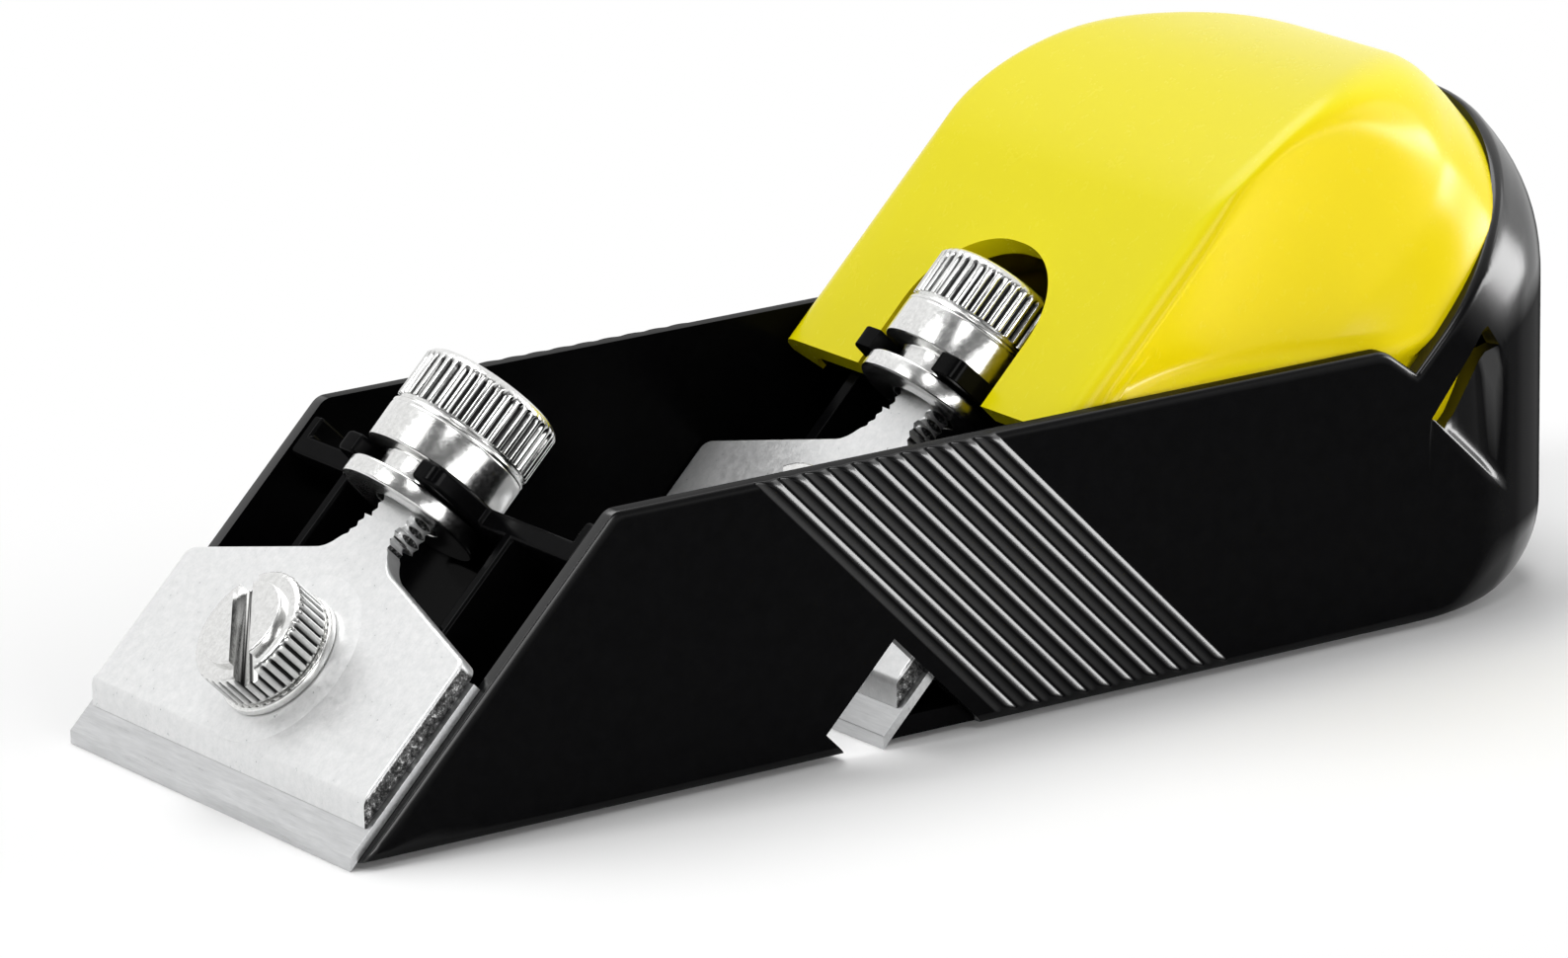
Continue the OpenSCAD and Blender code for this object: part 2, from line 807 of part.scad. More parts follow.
module front_frog() { frog(front_bed_x); }
module front_lock_bush() { lock_bush(front_bed_x); }
module front_blade() { blade(front_bed_x); }
module front_holder() { holder(front_bed_x); }
module front_nut() { adjusting_nut(front_bed_x); }
module front_lock_washer() { lock_washer(front_bed_x); }
module front_lock_screw() { lock_screw(front_bed_x); }
module middle_frog() { frog(middle_bed_x); }
module middle_lock_bush() { lock_bush(middle_bed_x); }
module middle_blade() { blade(middle_bed_x); }
module middle_holder() { holder(middle_bed_x); }
module middle_nut() { adjusting_nut(middle_bed_x); }
module middle_lock_washer() { lock_washer(middle_bed_x); }
module middle_lock_screw() { lock_screw(middle_bed_x); }

body_shell();
palm_grip();
front_frog();
front_lock_bush();
front_blade();
front_holder();
front_nut();
front_lock_washer();
front_lock_screw();
middle_frog();
middle_lock_bush();
middle_blade();
middle_holder();
middle_nut();
middle_lock_washer();
middle_lock_screw();
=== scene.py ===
# %% [markdown]
# # A small rebate plane in Blender
#
# The real object is a short steel plane with two blade beds, one at the toe and one amidships.
# Its body is one black enamelled pressing, its palm grip is a hollow moulding of yellow plastic,
# and each bed has a ground blade, a cast zinc holder, a knurled nut and a knurled lock screw.
#
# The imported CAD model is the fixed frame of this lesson. Every piece made here sits where its
# CAD node sits, moves with the same body, and stays inside the CAD model's box.

# %% Load the frame
import json
import math

import bmesh
import bpy
import numpy as np
from mathutils import Matrix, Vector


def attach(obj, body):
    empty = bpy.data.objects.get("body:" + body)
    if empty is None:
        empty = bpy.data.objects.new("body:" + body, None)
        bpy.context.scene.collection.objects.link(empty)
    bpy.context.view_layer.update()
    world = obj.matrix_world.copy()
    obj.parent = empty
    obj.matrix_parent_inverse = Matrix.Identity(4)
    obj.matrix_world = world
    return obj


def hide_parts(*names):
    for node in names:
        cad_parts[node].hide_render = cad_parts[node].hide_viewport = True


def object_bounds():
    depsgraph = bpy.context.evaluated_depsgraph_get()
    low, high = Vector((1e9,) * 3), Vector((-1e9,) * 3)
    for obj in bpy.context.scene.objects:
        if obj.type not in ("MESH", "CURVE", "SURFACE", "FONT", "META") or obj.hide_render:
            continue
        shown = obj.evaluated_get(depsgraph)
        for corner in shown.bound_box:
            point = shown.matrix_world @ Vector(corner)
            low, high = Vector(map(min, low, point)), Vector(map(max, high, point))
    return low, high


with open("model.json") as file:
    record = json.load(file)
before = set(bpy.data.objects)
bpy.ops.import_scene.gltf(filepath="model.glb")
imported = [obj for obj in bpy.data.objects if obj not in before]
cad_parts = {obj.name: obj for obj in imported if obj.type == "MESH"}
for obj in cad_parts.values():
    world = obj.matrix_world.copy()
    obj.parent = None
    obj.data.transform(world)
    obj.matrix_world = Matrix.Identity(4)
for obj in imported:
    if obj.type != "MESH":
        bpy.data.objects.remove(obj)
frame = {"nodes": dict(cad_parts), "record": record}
nodes = frame["nodes"]
cad_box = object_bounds()
millimetre = 0.001
print("CAD nodes:", len(nodes))

# %% [markdown]
# ## Camera
#
# A camera fitted to the photograph says where the photographer stood. The lens is long, so the
# plane's edges stay nearly parallel. The view is turned 35 degrees from the left side towards
# the toe, 16 degrees above the sole, and the camera rolls by less than a degree. The fit held
# the body at 52 by 150 mm and the beds near 45 degrees, so it is no measure of either.

# %% Camera
picture_width = 1588
focal_pixels = 9660.5
camera_turn, camera_lift, camera_roll = 0.611376, 0.279938, -0.014692
camera_distance = 979.455
aim = np.array([-15.6717, -34.3811, 7.6046])


def new_object(name, data):
    """New object at the origin, linked into the scene."""
    thing = bpy.data.objects.new(name, data)
    bpy.context.scene.collection.objects.link(thing)
    return thing


def axes_at(axes, place):
    """Matrix of an object that has these three axes and stands at this place."""
    columns = (*axes, place)
    return Matrix([[column[i] for column in columns] for i in range(3)] + [[0, 0, 0, 1]])


def camera_axes(turn, lift, roll):
    """Unit vectors to the picture's right, up and back towards the camera, for a camera turned
    from +Y towards +X, lifted above the sole and rolled about its own line of sight."""
    back = np.array([math.sin(turn) * math.cos(lift), math.cos(turn) * math.cos(lift), math.sin(lift)])
    level = np.cross([0, 0, 1], back)
    level /= np.linalg.norm(level)
    upright = np.cross(back, level)
    right = level * math.cos(roll) + upright * math.sin(roll)
    up = upright * math.cos(roll) - level * math.sin(roll)
    return right, up, back


right, up, back = camera_axes(camera_turn, camera_lift, camera_roll)
lens = bpy.data.cameras.new("studio_camera")
lens.sensor_width = 36
lens.lens = 36 * focal_pixels / picture_width
lens.clip_start, lens.clip_end = 0.05, 20
camera = new_object("studio_camera", lens)
camera_place = (aim + back * camera_distance) * millimetre
camera.matrix_world = axes_at((right, up, back), camera_place)
bpy.context.scene.camera = camera
print("camera stands at", np.round(camera_place, 4), "with a lens of", round(lens.lens, 1), "mm")

# %% [markdown]
# ## Node helpers
#
# A finish is a small network of shader nodes. These helpers add a node, set its sockets and
# link it, so that each finish below reads as a short list of what it is made of.

# %% Node helpers


def add_node(tree, kind, **settings):
    """Adds a shader node, sets its properties, and its sockets where the name is a socket's."""
    node = tree.nodes.new(kind)
    for name, value in settings.items():
        socket = name.replace("_", " ")
        if hasattr(node, name):
            setattr(node, name, value)
        else:
            node.inputs[socket].default_value = value
    return node


def wire(tree, value, socket):
    """Links an output to a socket, or gives the socket a fixed value."""
    if isinstance(value, bpy.types.NodeSocket):
        tree.links.new(value, socket)
    else:
        socket.default_value = value


def worked_out(tree, operation, *values, kind="ShaderNodeMath"):
    """Result of a math node on outputs and fixed values."""
    node = add_node(tree, kind, operation=operation)
    for value, socket in zip(values, node.inputs):
        wire(tree, value, socket)
    return node.outputs["Value" if operation in ("LENGTH", "DOT_PRODUCT") else 0]


def remapped(tree, value, low, high, start=0.0, end=1.0, curve="SMOOTHSTEP"):
    """Runs from start to end while a value runs from low to high."""
    node = add_node(tree, "ShaderNodeMapRange", From_Min=low, From_Max=high, To_Min=start, To_Max=end)
    node.interpolation_type = curve
    tree.links.new(value, node.inputs["Value"])
    return node.outputs[0]


def ramp(tree, source, stops):
    """Ramp from a value: stops are pairs of a position and a colour or a single level."""
    node = tree.nodes.new("ShaderNodeValToRGB")
    tree.links.new(source, node.inputs["Fac"])
    while len(node.color_ramp.elements) < len(stops):
        node.color_ramp.elements.new(0.5)
    for element, (position, colour) in zip(node.color_ramp.elements, stops):
        element.position = position
        element.color = (*colour, 1) if isinstance(colour, tuple) else (colour, colour, colour, 1)
    return node.outputs["Color"]


def new_group(name, inputs, outputs):
    """Node group with named float inputs and their usual values, and named outputs."""
    group = bpy.data.node_groups.new(name, "ShaderNodeTree")
    add_socket = group.interface.new_socket
    for socket, value in inputs.items():
        add_socket(socket, in_out="INPUT", socket_type="NodeSocketFloat").default_value = value
    for socket, kind in outputs.items():
        add_socket(socket, in_out="OUTPUT", socket_type=kind)
    entry = group.nodes.new("NodeGroupInput")
    exit_node = group.nodes.new("NodeGroupOutput")
    return group, entry.outputs, exit_node.inputs


def place_group(tree, group, **values):
    """Puts a node group into a material, with its own values for the named inputs."""
    node = tree.nodes.new("ShaderNodeGroup")
    node.node_tree = group
    for name, value in values.items():
        node.inputs[name.replace("_", " ")].default_value = value
    return node.outputs


# %% [markdown]
# ## Surface grain
#
# Paint, plastic, cast zinc and ground steel differ mostly in how fine and how deep their grain
# is. One group makes a grain from two sizes of noise on Object coordinates, which stay still on
# the piece when it moves. The stretch input squeezes the noise along one axis into scratches.

# %% Surface grain group
grain_group, taken, given = new_group(
    "surface_grain",
    {"Size": 0.4, "Fine Size": 0.12, "Stretch X": 1, "Stretch Y": 1, "Stretch Z": 1, "Height": 0.02},
    {"Value": "NodeSocketFloat", "Normal": "NodeSocketVector"},
)
tree = grain_group
coordinates = add_node(tree, "ShaderNodeTexCoord")
stretch = add_node(tree, "ShaderNodeCombineXYZ")
for axis in "XYZ":
    tree.links.new(taken["Stretch " + axis], stretch.inputs[axis])
stretched = worked_out(
    tree, "MULTIPLY", coordinates.outputs["Object"], stretch.outputs[0], kind="ShaderNodeVectorMath",
)
noises = []
for size in ("Size", "Fine Size"):
    noise = add_node(tree, "ShaderNodeTexNoise", Detail=3, Roughness=0.55)
    tree.links.new(stretched, noise.inputs["Vector"])
    tree.links.new(worked_out(tree, "DIVIDE", 1 / millimetre, taken[size]), noise.inputs["Scale"])
    noises.append(noise.outputs[0])
small = worked_out(tree, "MULTIPLY", noises[1], 0.4)
mixed = worked_out(tree, "MULTIPLY_ADD", noises[0], 0.6, small)
tree.links.new(mixed, given["Value"])
bump = add_node(tree, "ShaderNodeBump", Strength=1.0)
tree.links.new(worked_out(tree, "MULTIPLY", taken["Height"], millimetre), bump.inputs["Distance"])
tree.links.new(mixed, bump.inputs["Height"])
tree.links.new(bump.outputs[0], given["Normal"])
print("made the group", grain_group.name)

# %% [markdown]
# ## Finishes
#
# Every finish has one Principled shader. The grain steers its colour and roughness a little, so
# that no surface is one flat value, and bends its normal by a few thousandths of a millimetre.

# %% Finishes


def finish(
    name, dark, light, rough_low, rough_high, grain,
    metallic=0.0, specular=0.5, coat=0.0, coat_roughness=0.1,
):
    """Material whose colour runs from dark to light and whose roughness runs from low to high
    with the grain. The constant sockets are set on the shader itself."""
    material = bpy.data.materials.new(name)
    material.use_nodes = True
    tree = material.node_tree
    shader = tree.nodes["Principled BSDF"]
    for socket, value in (
        ("Metallic", metallic), ("Specular IOR Level", specular),
        ("Coat Weight", coat), ("Coat Roughness", coat_roughness),
    ):
        shader.inputs[socket].default_value = value
    outputs = place_group(tree, grain_group, **grain)
    colour = ramp(tree, outputs["Value"], [(0.3, dark), (0.7, light)])
    tree.links.new(colour, shader.inputs["Base Color"])
    roughness = remapped(tree, outputs["Value"], 0.3, 0.7, rough_low, rough_high, "LINEAR")
    tree.links.new(roughness, shader.inputs["Roughness"])
    tree.links.new(outputs["Normal"], shader.inputs["Normal"])
    return material


enamel = (
    (0.0016, 0.0016, 0.0018), (0.003, 0.003, 0.0033), 0.16, 0.24,
    {"Size": 1.6, "Fine_Size": 0.5, "Height": 0.002},
)
black_enamel = finish("black_enamel", *enamel, specular=0.0)
sheet_enamel = finish("sheet_enamel", *enamel, specular=0.0, coat=0.12, coat_roughness=0.15)
yellow_moulding = finish(
    "yellow_moulding", (0.87, 0.765, 0.001), (0.88, 0.775, 0.002), 0.25, 0.28,
    {"Size": 2.0, "Fine_Size": 0.5, "Height": 0.001}, specular=0.25,
)
cast_zinc = finish(
    "cast_zinc", (0.74, 0.75, 0.75), (0.88, 0.88, 0.88), 0.26, 0.44,
    {"Size": 0.9, "Fine_Size": 0.3, "Height": 0.03}, metallic=0.6,
)
ground_steel = finish(
    "ground_steel", (0.5, 0.505, 0.51), (0.66, 0.665, 0.67), 0.26, 0.38,
    {"Size": 0.5, "Fine_Size": 0.15, "Stretch_Y": 0.08, "Height": 0.004}, metallic=1.0,
)
bright_nickel = finish(
    "bright_nickel", (0.66, 0.66, 0.65), (0.86, 0.86, 0.85), 0.14, 0.27,
    {"Size": 0.5, "Fine_Size": 0.15, "Height": 0.005}, metallic=1.0,
)
plated_steel = finish(
    "plated_steel", (0.42, 0.42, 0.43), (0.55, 0.55, 0.56), 0.3, 0.45,
    {"Size": 0.8, "Fine_Size": 0.25, "Height": 0.006}, metallic=1.0,
)


def recoloured(material, share, colour):
    """Mixes a finish's colour towards another one, fixed or a node's output, by a share."""
    tree = material.node_tree
    shader = tree.nodes["Principled BSDF"]
    mix = add_node(tree, "ShaderNodeMix", data_type="RGBA")
    tree.links.new(share, mix.inputs[0])
    tree.links.new(shader.inputs["Base Color"].links[0].from_socket, mix.inputs[6])
    wire(tree, (*colour, 1) if isinstance(colour, tuple) else colour, mix.inputs[7])
    tree.links.new(mix.outputs[2], shader.inputs["Base Color"])


def dark_grooves(material):
    """Darkens the floors of a knurl's grooves, which see little light, by the piece's own
    attribute named groove."""
    groove = add_node(material.node_tree, "ShaderNodeAttribute", attribute_name="groove")
    recoloured(material, groove.outputs["Fac"], (0.015, 0.015, 0.015))


def normal_parts(tree):
    """The surface normal's X, Y and Z on the piece itself."""
    parts = add_node(tree, "ShaderNodeSeparateXYZ")
    tree.links.new(add_node(tree, "ShaderNodeTexCoord").outputs["Normal"], parts.inputs[0])
    return parts.outputs


def facing_sideways(material, low, high):
    """Share from 0 to 1 by how far a surface faces across the plane, to either side."""
    tree = material.node_tree
    sideways = worked_out(tree, "ABSOLUTE", normal_parts(tree)["Y"])
    return remapped(tree, sideways, low, high)


def dark_reflection_speckled_sides(material):
    """Paints a dark reflection on a casting's sides where they face across the plane, with pale specks of the
    casting's grain.
    """
    tree = material.node_tree
    specks = place_group(tree, grain_group, Size=0.5, Fine_Size=0.16)
    # Painted dark reflection: near-black with pale specks, standing in for the dark surroundings these sides
    # mirror.
    cast = ramp(tree, specks["Value"], [(0.42, 0.012), (0.56, 0.12), (0.64, 0.6)])
    recoloured(material, facing_sideways(material, 0.85, 0.97), cast)


def coat_by_facing(material, heelward_stops, upward_stops, toeward_stops, roughness):
    """Weights a finish's coat by how far a surface faces the heel, upwards and the toe, as in the
    photograph: the ribs, the strap, the heel's bottom rounding and the upper edges catch the
    light there, and upright walls stay dark. Stops are (part of the normal, weight) pairs."""
    # Painted sheen: the coat follows which way a surface faces, not how the sheet is bent, so that only these
    # faces show the lamps' highlights.
    tree = material.node_tree
    parts = normal_parts(tree)
    heelward = ramp(tree, worked_out(tree, "MULTIPLY", parts["X"], -1), heelward_stops)
    tilted = ramp(tree, worked_out(tree, "ABSOLUTE", parts["Z"]), [(0.03, 0.15), (0.14, 1.0)])
    bent = worked_out(tree, "MULTIPLY", heelward, tilted)
    weight = worked_out(tree, "MAXIMUM", bent, ramp(tree, parts["Z"], upward_stops))
    weight = worked_out(tree, "MAXIMUM", weight, ramp(tree, parts["X"], toeward_stops))
    shader = tree.nodes["Principled BSDF"]
    tree.links.new(weight, shader.inputs["Coat Weight"])
    shader.inputs["Coat IOR"].default_value = 1.7
    shader.inputs["Coat Roughness"].default_value = roughness


# The enamel's sheen is painted in by direction: coat only where its faces turn towards the heel, upwards or
# the toe.
coat_by_facing(
    black_enamel,
    heelward_stops=[(0.05, 0.2), (0.2, 0.5), (0.34, 0.5), (0.42, 0.95), (0.62, 0.95), (0.72, 0.1)],
    upward_stops=[(0.3, 0.0), (0.45, 0.5), (0.6, 0.7), (0.93, 0.7), (0.985, 0.06)],
    toeward_stops=[(0.08, 0.0), (0.3, 0.7)],
    roughness=0.2,
)
dark_grooves(bright_nickel)
# Painted dark reflection on the holders' sides.
dark_reflection_speckled_sides(cast_zinc)
# Painted shade: the grip's colour turns a deeper orange where its surface faces sideways.
recoloured(yellow_moulding, facing_sideways(yellow_moulding, 0.3, 0.9), (0.86, 0.68, 0.001))
finishes = {
    "black_paint": black_enamel,
    "black_sheet": sheet_enamel,
    "yellow_plastic": yellow_moulding,
    "cast_zinc": cast_zinc,
    "ground_steel": ground_steel,
    "bright_nickel": bright_nickel,
    "plated_steel": plated_steel,
}
slot_of = {part["node"]: part["material_slot"] for part in frame["record"]["subparts"]}
bodies = frame["record"]["behaviour"]["bodies"]
body_of = {node: body for body, members in bodies.items() for node in members}
print("finishes:", ", ".join(sorted(set(m.name for m in finishes.values()))))

# %% [markdown]
# ## Meshes from arrays
#
# Most pieces are surfaces: points on a grid of rows and columns, worked out as whole arrays.
# These helpers turn such grids into closed meshes. A bed point is given by how far it lies up
# the bed, across it, and out of it, all in millimetres.

# %% Mesh helpers
bed_angle = math.radians(45)
merge_distance = 0.003
bed_foot = {"front": 75.0, "middle": 14.0}


def on_bed(bed, along, across, out):
    """Row-frame points from distances up a bed, across it and out of it: x falls and z rises
    with the distance up the bed, and both rise with the height out of it."""
    along, across, out = np.broadcast_arrays(along, across, out)
    x = bed_foot[bed] + out * math.sin(bed_angle) - along * math.cos(bed_angle)
    z = out * math.cos(bed_angle) + along * math.sin(bed_angle)
    return np.stack([x, across, z], axis=-1)


def smooth_step(value, low, high):
    """Rises from 0 at low to 1 at high with level ends."""
    share = np.clip((value - low) / (high - low), 0, 1)
    return share * share * (3 - 2 * share)


def grid_quads(rows, columns, around=False):
    """Quads between neighbours on a grid, row by row, with the last column joined to the first
    if around."""
    index = np.arange(rows * columns).reshape(rows, columns)
    if around:
        index = np.hstack([index, index[:, :1]])
    return np.stack([index[:-1, :-1], index[:-1, 1:], index[1:, 1:], index[1:, :-1]], axis=-1).reshape(-1, 4)


def looped_quads(rows, columns):
    """Quads round a spun profile whose last row is joined to its first as well."""
    first, last = np.arange(columns), np.arange(columns) + (rows - 1) * columns
    seam = np.stack([last, np.roll(last, -1), np.roll(first, -1), first], axis=-1)
    return np.vstack([grid_quads(rows, columns, around=True), seam])


def capped_faces(rows, columns):
    """Quads round a stack of rings, and one face over each end, as lists of corners."""
    ends = [list(range(columns))[::-1], list(range(columns * (rows - 1), columns * rows))]
    return grid_quads(rows, columns, around=True).tolist() + ends


def mesh_points(mesh):
    """A mesh's points in millimetres, as one array."""
    points = np.empty(len(mesh.vertices) * 3)
    mesh.vertices.foreach_get("co", points)
    return points.reshape(-1, 3) / millimetre


def build(name, points, faces, nodes_replaced, sharp=35, bevel=0.0, bevel_angle=50):
    """Makes the piece that stands in for its CAD nodes, from points in millimetres. Doubles are
    merged, faces turned outwards, and edges sharper than an angle stay crisp, or get a small
    rounded bevel."""
    mesh = bpy.data.meshes.new(name)
    points = np.asarray(points, float).reshape(-1, 3) * millimetre
    mesh.from_pydata(points.tolist(), [], faces.tolist() if isinstance(faces, np.ndarray) else faces)
    work = bmesh.new()
    work.from_mesh(mesh)
    bmesh.ops.remove_doubles(work, verts=work.verts, dist=merge_distance * millimetre)
    bmesh.ops.recalc_face_normals(work, faces=work.faces)
    work.to_mesh(mesh)
    work.free()
    mesh.shade_smooth()
    mesh.set_sharp_from_angle(angle=math.radians(sharp))
    slot = slot_of[nodes_replaced[0]]
    mesh.materials.append(finishes[slot])
    piece = new_object(name, mesh)
    if bevel:
        edge = piece.modifiers.new("rounded_edges", "BEVEL")
        edge.width, edge.segments = bevel * millimetre, 3
        edge.limit_method, edge.angle_limit = "ANGLE", math.radians(bevel_angle)
        edge.use_clamp_overlap = True
        edge.harden_normals = True
    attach(piece, body_of[nodes_replaced[0]])
    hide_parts(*nodes_replaced)
    print(name, "has", len(mesh.polygons), "faces")
    return piece


# %% [markdown]
# ## The pressed body
#
# The body is one sheet of steel. It is drawn as a grid that runs from the toe along the left
# wall, round the heel and back along the right wall. Each column of the grid starts at the
# sheet's upper edge, goes down the wall, turns under and ends on the middle of the sole. A
# second grid with the same rows and columns is the sheet's inner face. Cells are left out for
# the mouth, the side notches and the slits of the pressed tabs, and wherever a cell borders on
# nothing a narrow face joins the two grids.
#
# The wall's columns lean at 45 degrees, like the ribs and the sides of the notch, so that those
# features fall on grid lines. Behind the ribs the columns fan out until they stand upright.

# %% Columns of the body's grid
toe_x, heel_x = 75.0, -75.0
half_width, wall_height, wall, sole = 26.0, 29.0, 1.6, 2.0
top_corner, rim_round, wall_rim = 2.0, 0.9, 0.3
notch_left, notch_right, notch_top = 3.39, 19.66, 24.6
mouth_left = 13.93
rib_count, rib_pitch, first_rib, rib_height, rib_half = 10, 2.86, -0.2, 0.27, 0.85
rib_low, rib_high = 0.9, 29.2
slope_x, valley_x, valley_z = -46.2, -50.3, 26.0
strap_x, strap_z = -53.8, 29.5
heel_corner, heel_bottom, heel_rim_depth = 17.0, 8.5, 3.6
tab_tip_x, tab_top_x, tab_back_x = -52.1, -59.3, -62.4
tab_tip_z, tab_top_z, tab_back_z, tab_foot_z = 21.0, 29.6, 25.0, 11.2
slide_start = -28.8
tiny = 0.01
root_half = math.sqrt(0.5)


def steps(*stops):
    """Joins evenly spaced stretches: stops are value, count, value, count and so on."""
    stretches = [
        np.linspace(start, end, count, endpoint=False)
        for start, count, end in zip(stops[:-2:2], stops[1:-1:2], stops[2::2])
    ]
    return np.concatenate(stretches + [[stops[-1]]])


def toe_height(line):
    """Height of the sheet's upper edge where a 45 degree line x - z = line meets it: on the
    toe's slope, on the corner's arc, or on the level top."""
    corner = toe_x - 2 * wall_height
    reach = top_corner * math.tan(math.radians(22.5))
    low_end, high_end = corner + reach * math.sqrt(2), corner - reach
    on_slope = (toe_x - line) / 2
    turn = np.clip(line - low_end, -top_corner, 0)
    on_arc = (toe_x - reach - top_corner - line + np.sqrt(2 * top_corner**2 - turn**2)) / 2
    return np.where(line > low_end, on_slope, np.where(line > high_end, on_arc, wall_height))


lean_lines = steps(
    toe_x, 3, 73.0, 2, 71.0, 8, notch_right, 2, 18.2, 8, 16.1, 2, mouth_left, 4, notch_left, 12, 1.2,
    210, slide_start,
)
fan = np.concatenate([np.linspace(0, 1, 13)[1:-1], [0.98, 0.99, 1]])
slope = np.array([0.07, 0.15, 0.25, 0.5, 0.75, 1])
slope_columns = slope_x + (valley_x - slope_x) * slope
rise = steps(valley_x, 4, tab_tip_x, 4, strap_x)[1:]
fan_foot = slide_start + (slope_x - slide_start) * fan
fan_head_start = slide_start + wall_height
fan_head = fan_head_start + (slope_x - fan_head_start) * fan
foot = np.concatenate([lean_lines, fan_foot, slope_columns, rise])
head_x = np.concatenate([lean_lines + toe_height(lean_lines), fan_head, slope_columns, rise])
head_z = np.concatenate([
    toe_height(lean_lines), wall_height + 0 * fan, wall_height + (valley_z - wall_height) * slope,
    valley_z + valley_x - rise,
])
falling = wall_height + (wall_height - valley_z) * (head_x - slope_x) / (slope_x - valley_x)
slope_blend = 0.7
meeting = np.clip(1 - np.abs(wall_height - falling) / slope_blend, 0, 1) * (head_x > valley_x + tiny)
head_z = head_z - slope_blend / 4 * meeting**2
lean = (head_x - foot) / np.maximum(head_z, 0.001)
wall_columns = len(foot)

corner_start = heel_x + heel_corner
corner_turn = np.radians(steps(90, 36, 0))
plan_x = np.concatenate([
    steps(strap_x, 5, corner_start)[1:],
    corner_start - heel_corner * np.cos(corner_turn[1:]),
    np.full(4, heel_x),
])
straight_back = half_width - heel_corner
plan_y = np.concatenate([
    np.full(5, half_width),
    straight_back + heel_corner * np.sin(corner_turn[1:]),
    straight_back * np.linspace(0.75, 0, 4),
])
bearing = np.arctan2(strap_x - plan_x, plan_y)
strap_tilt = np.arctan2(root_half, np.tan(bearing))
column_x = np.concatenate([foot, plan_x])
head_z = np.concatenate([head_z, strap_z + half_width * root_half * np.cos(strap_tilt)])
columns = len(column_x)
print("half of the body has", columns, "columns")

# %% [markdown]
# The heel is where two simple forms meet: an upright wall on a rounded plan, and a round tube
# of the body's half width whose axis stands square to the bed. In a vertical plane through the
# middle of the strap, each form gives a distance from that middle, and the smaller one counts.
# A smooth minimum rounds the crease between them.

# %% Heel's forms


def edge_inset(radius, height):
    """How far a rounded bottom edge stands back at a height above the bottom."""
    height = np.clip(height, 0, radius)
    return radius - np.sqrt(height * (2 * radius - height))


def heel_point(height, inset, pressed):
    """Points of the heel at a height: distance along each bearing is the smooth minimum of the
    plan's distance and the tube's, where the tube solves v*v + y*y = radius*radius with v the
    distance up the bed. The lower edge of the side turns under as the wall's does."""
    side, ahead = np.cos(bearing), np.sin(bearing)
    reach = half_width - inset
    corner = heel_corner - inset
    setback = strap_x - corner_start
    to_side = reach / np.maximum(side, 0.01)
    to_back = (strap_x - heel_x - inset) / np.maximum(ahead, 0.01)
    towards = ahead * setback + side * straight_back
    to_corner = towards + np.sqrt(np.maximum(towards**2 - setback**2 - straight_back**2 + corner**2, 0))
    plan = np.where(to_back * side < straight_back, to_back, to_corner)
    plan = np.where(to_side * ahead < setback, to_side, plan)
    rise_above = height - strap_z
    a = ahead**2 / 2 + side**2
    b = rise_above * ahead
    tube = (-b + np.sqrt(np.maximum(b**2 - 4 * a * (rise_above**2 / 2 - reach**2), 0))) / (2 * a)
    tube = np.where(rise_above + tube * ahead < 0, to_side, tube)
    blend = heel_rim_depth * np.clip((plan * ahead - setback) / corner, 0.01, 1) ** 2
    closeness = np.clip(blend - np.abs(plan - tube), 0, None) / blend
    distance = np.minimum(plan, tube) - closeness**2 * blend / 4 - pressed
    back, across = distance * ahead, distance * side
    if inset == 0:
        across = across - edge_inset(1.0, height) * np.clip(across / straight_back, 0, 1)
    return strap_x - back, across


def sheet_point(height, inset, pressed, bulge):
    """Points of the whole sheet: the leaning wall's columns first, then the heel's. The heel's
    wide bottom rounding moves its back and its corners forwards; ahead of them the wall's
    columns slide along the flat wall by a falling share of the same distance. The outer face
    turns in over a radius at its upper edge, wide round the heel and narrow on the walls."""
    share = np.clip((slide_start - column_x) / (slide_start - corner_start), 0, 1)
    level = 0 if inset == 0 else sole
    forwards = share * edge_inset(heel_bottom - inset, height - level)
    if inset == 0:
        pressed = pressed + edge_inset(rim_round, head_z - height) * (wall_rim + (1 - wall_rim) * share**4)
    x = foot + lean * height[:, :wall_columns]
    y = half_width - inset - pressed[:, :wall_columns] + bulge
    if inset == 0:
        y = y - edge_inset(1.0, height[:, :wall_columns])
    else:
        x = np.minimum(x, toe_x - sole)
    heel_x_place, heel_y = heel_point(height[:, wall_columns:], inset, pressed[:, wall_columns:])
    return np.hstack([x, heel_x_place]) + forwards, np.hstack([y, heel_y])


# %% [markdown]
# The rows follow a few key lines on the wall: the upper edge, the upper and lower edges of the
# tab, the upper edge of the notch, and the bottom rounding. The tab is pressed in most at its
# upper corner, and a slit opens along its upper edge. The ribs are low ridges, each a parabola
# across its width, so that one side of each shows one soft line of light.

# %% Rows of the body's grid
wall_part = np.arange(columns) < wall_columns
line = np.where(wall_part, column_x, -100)
from_notch = line > notch_left - tiny
up_to_notch_right = line < notch_right + tiny
tab_share = np.clip((tab_tip_x - column_x) / (tab_tip_x - tab_top_x), 0, 1)
back_share = np.clip((tab_top_x - column_x) / (tab_top_x - tab_back_x), 0, 1)
beyond = np.clip((tab_back_x - column_x) / (tab_back_x - heel_x), 0, 1)
ahead_share = np.clip((column_x - tab_tip_x) / (slide_start - tab_tip_x), 0, 1)
whole_share = np.clip((tab_tip_x - column_x) / (tab_tip_x - tab_back_x), 0, 1)
in_tab = (column_x <= tab_tip_x + tiny) & (column_x >= tab_back_x - 0.2)

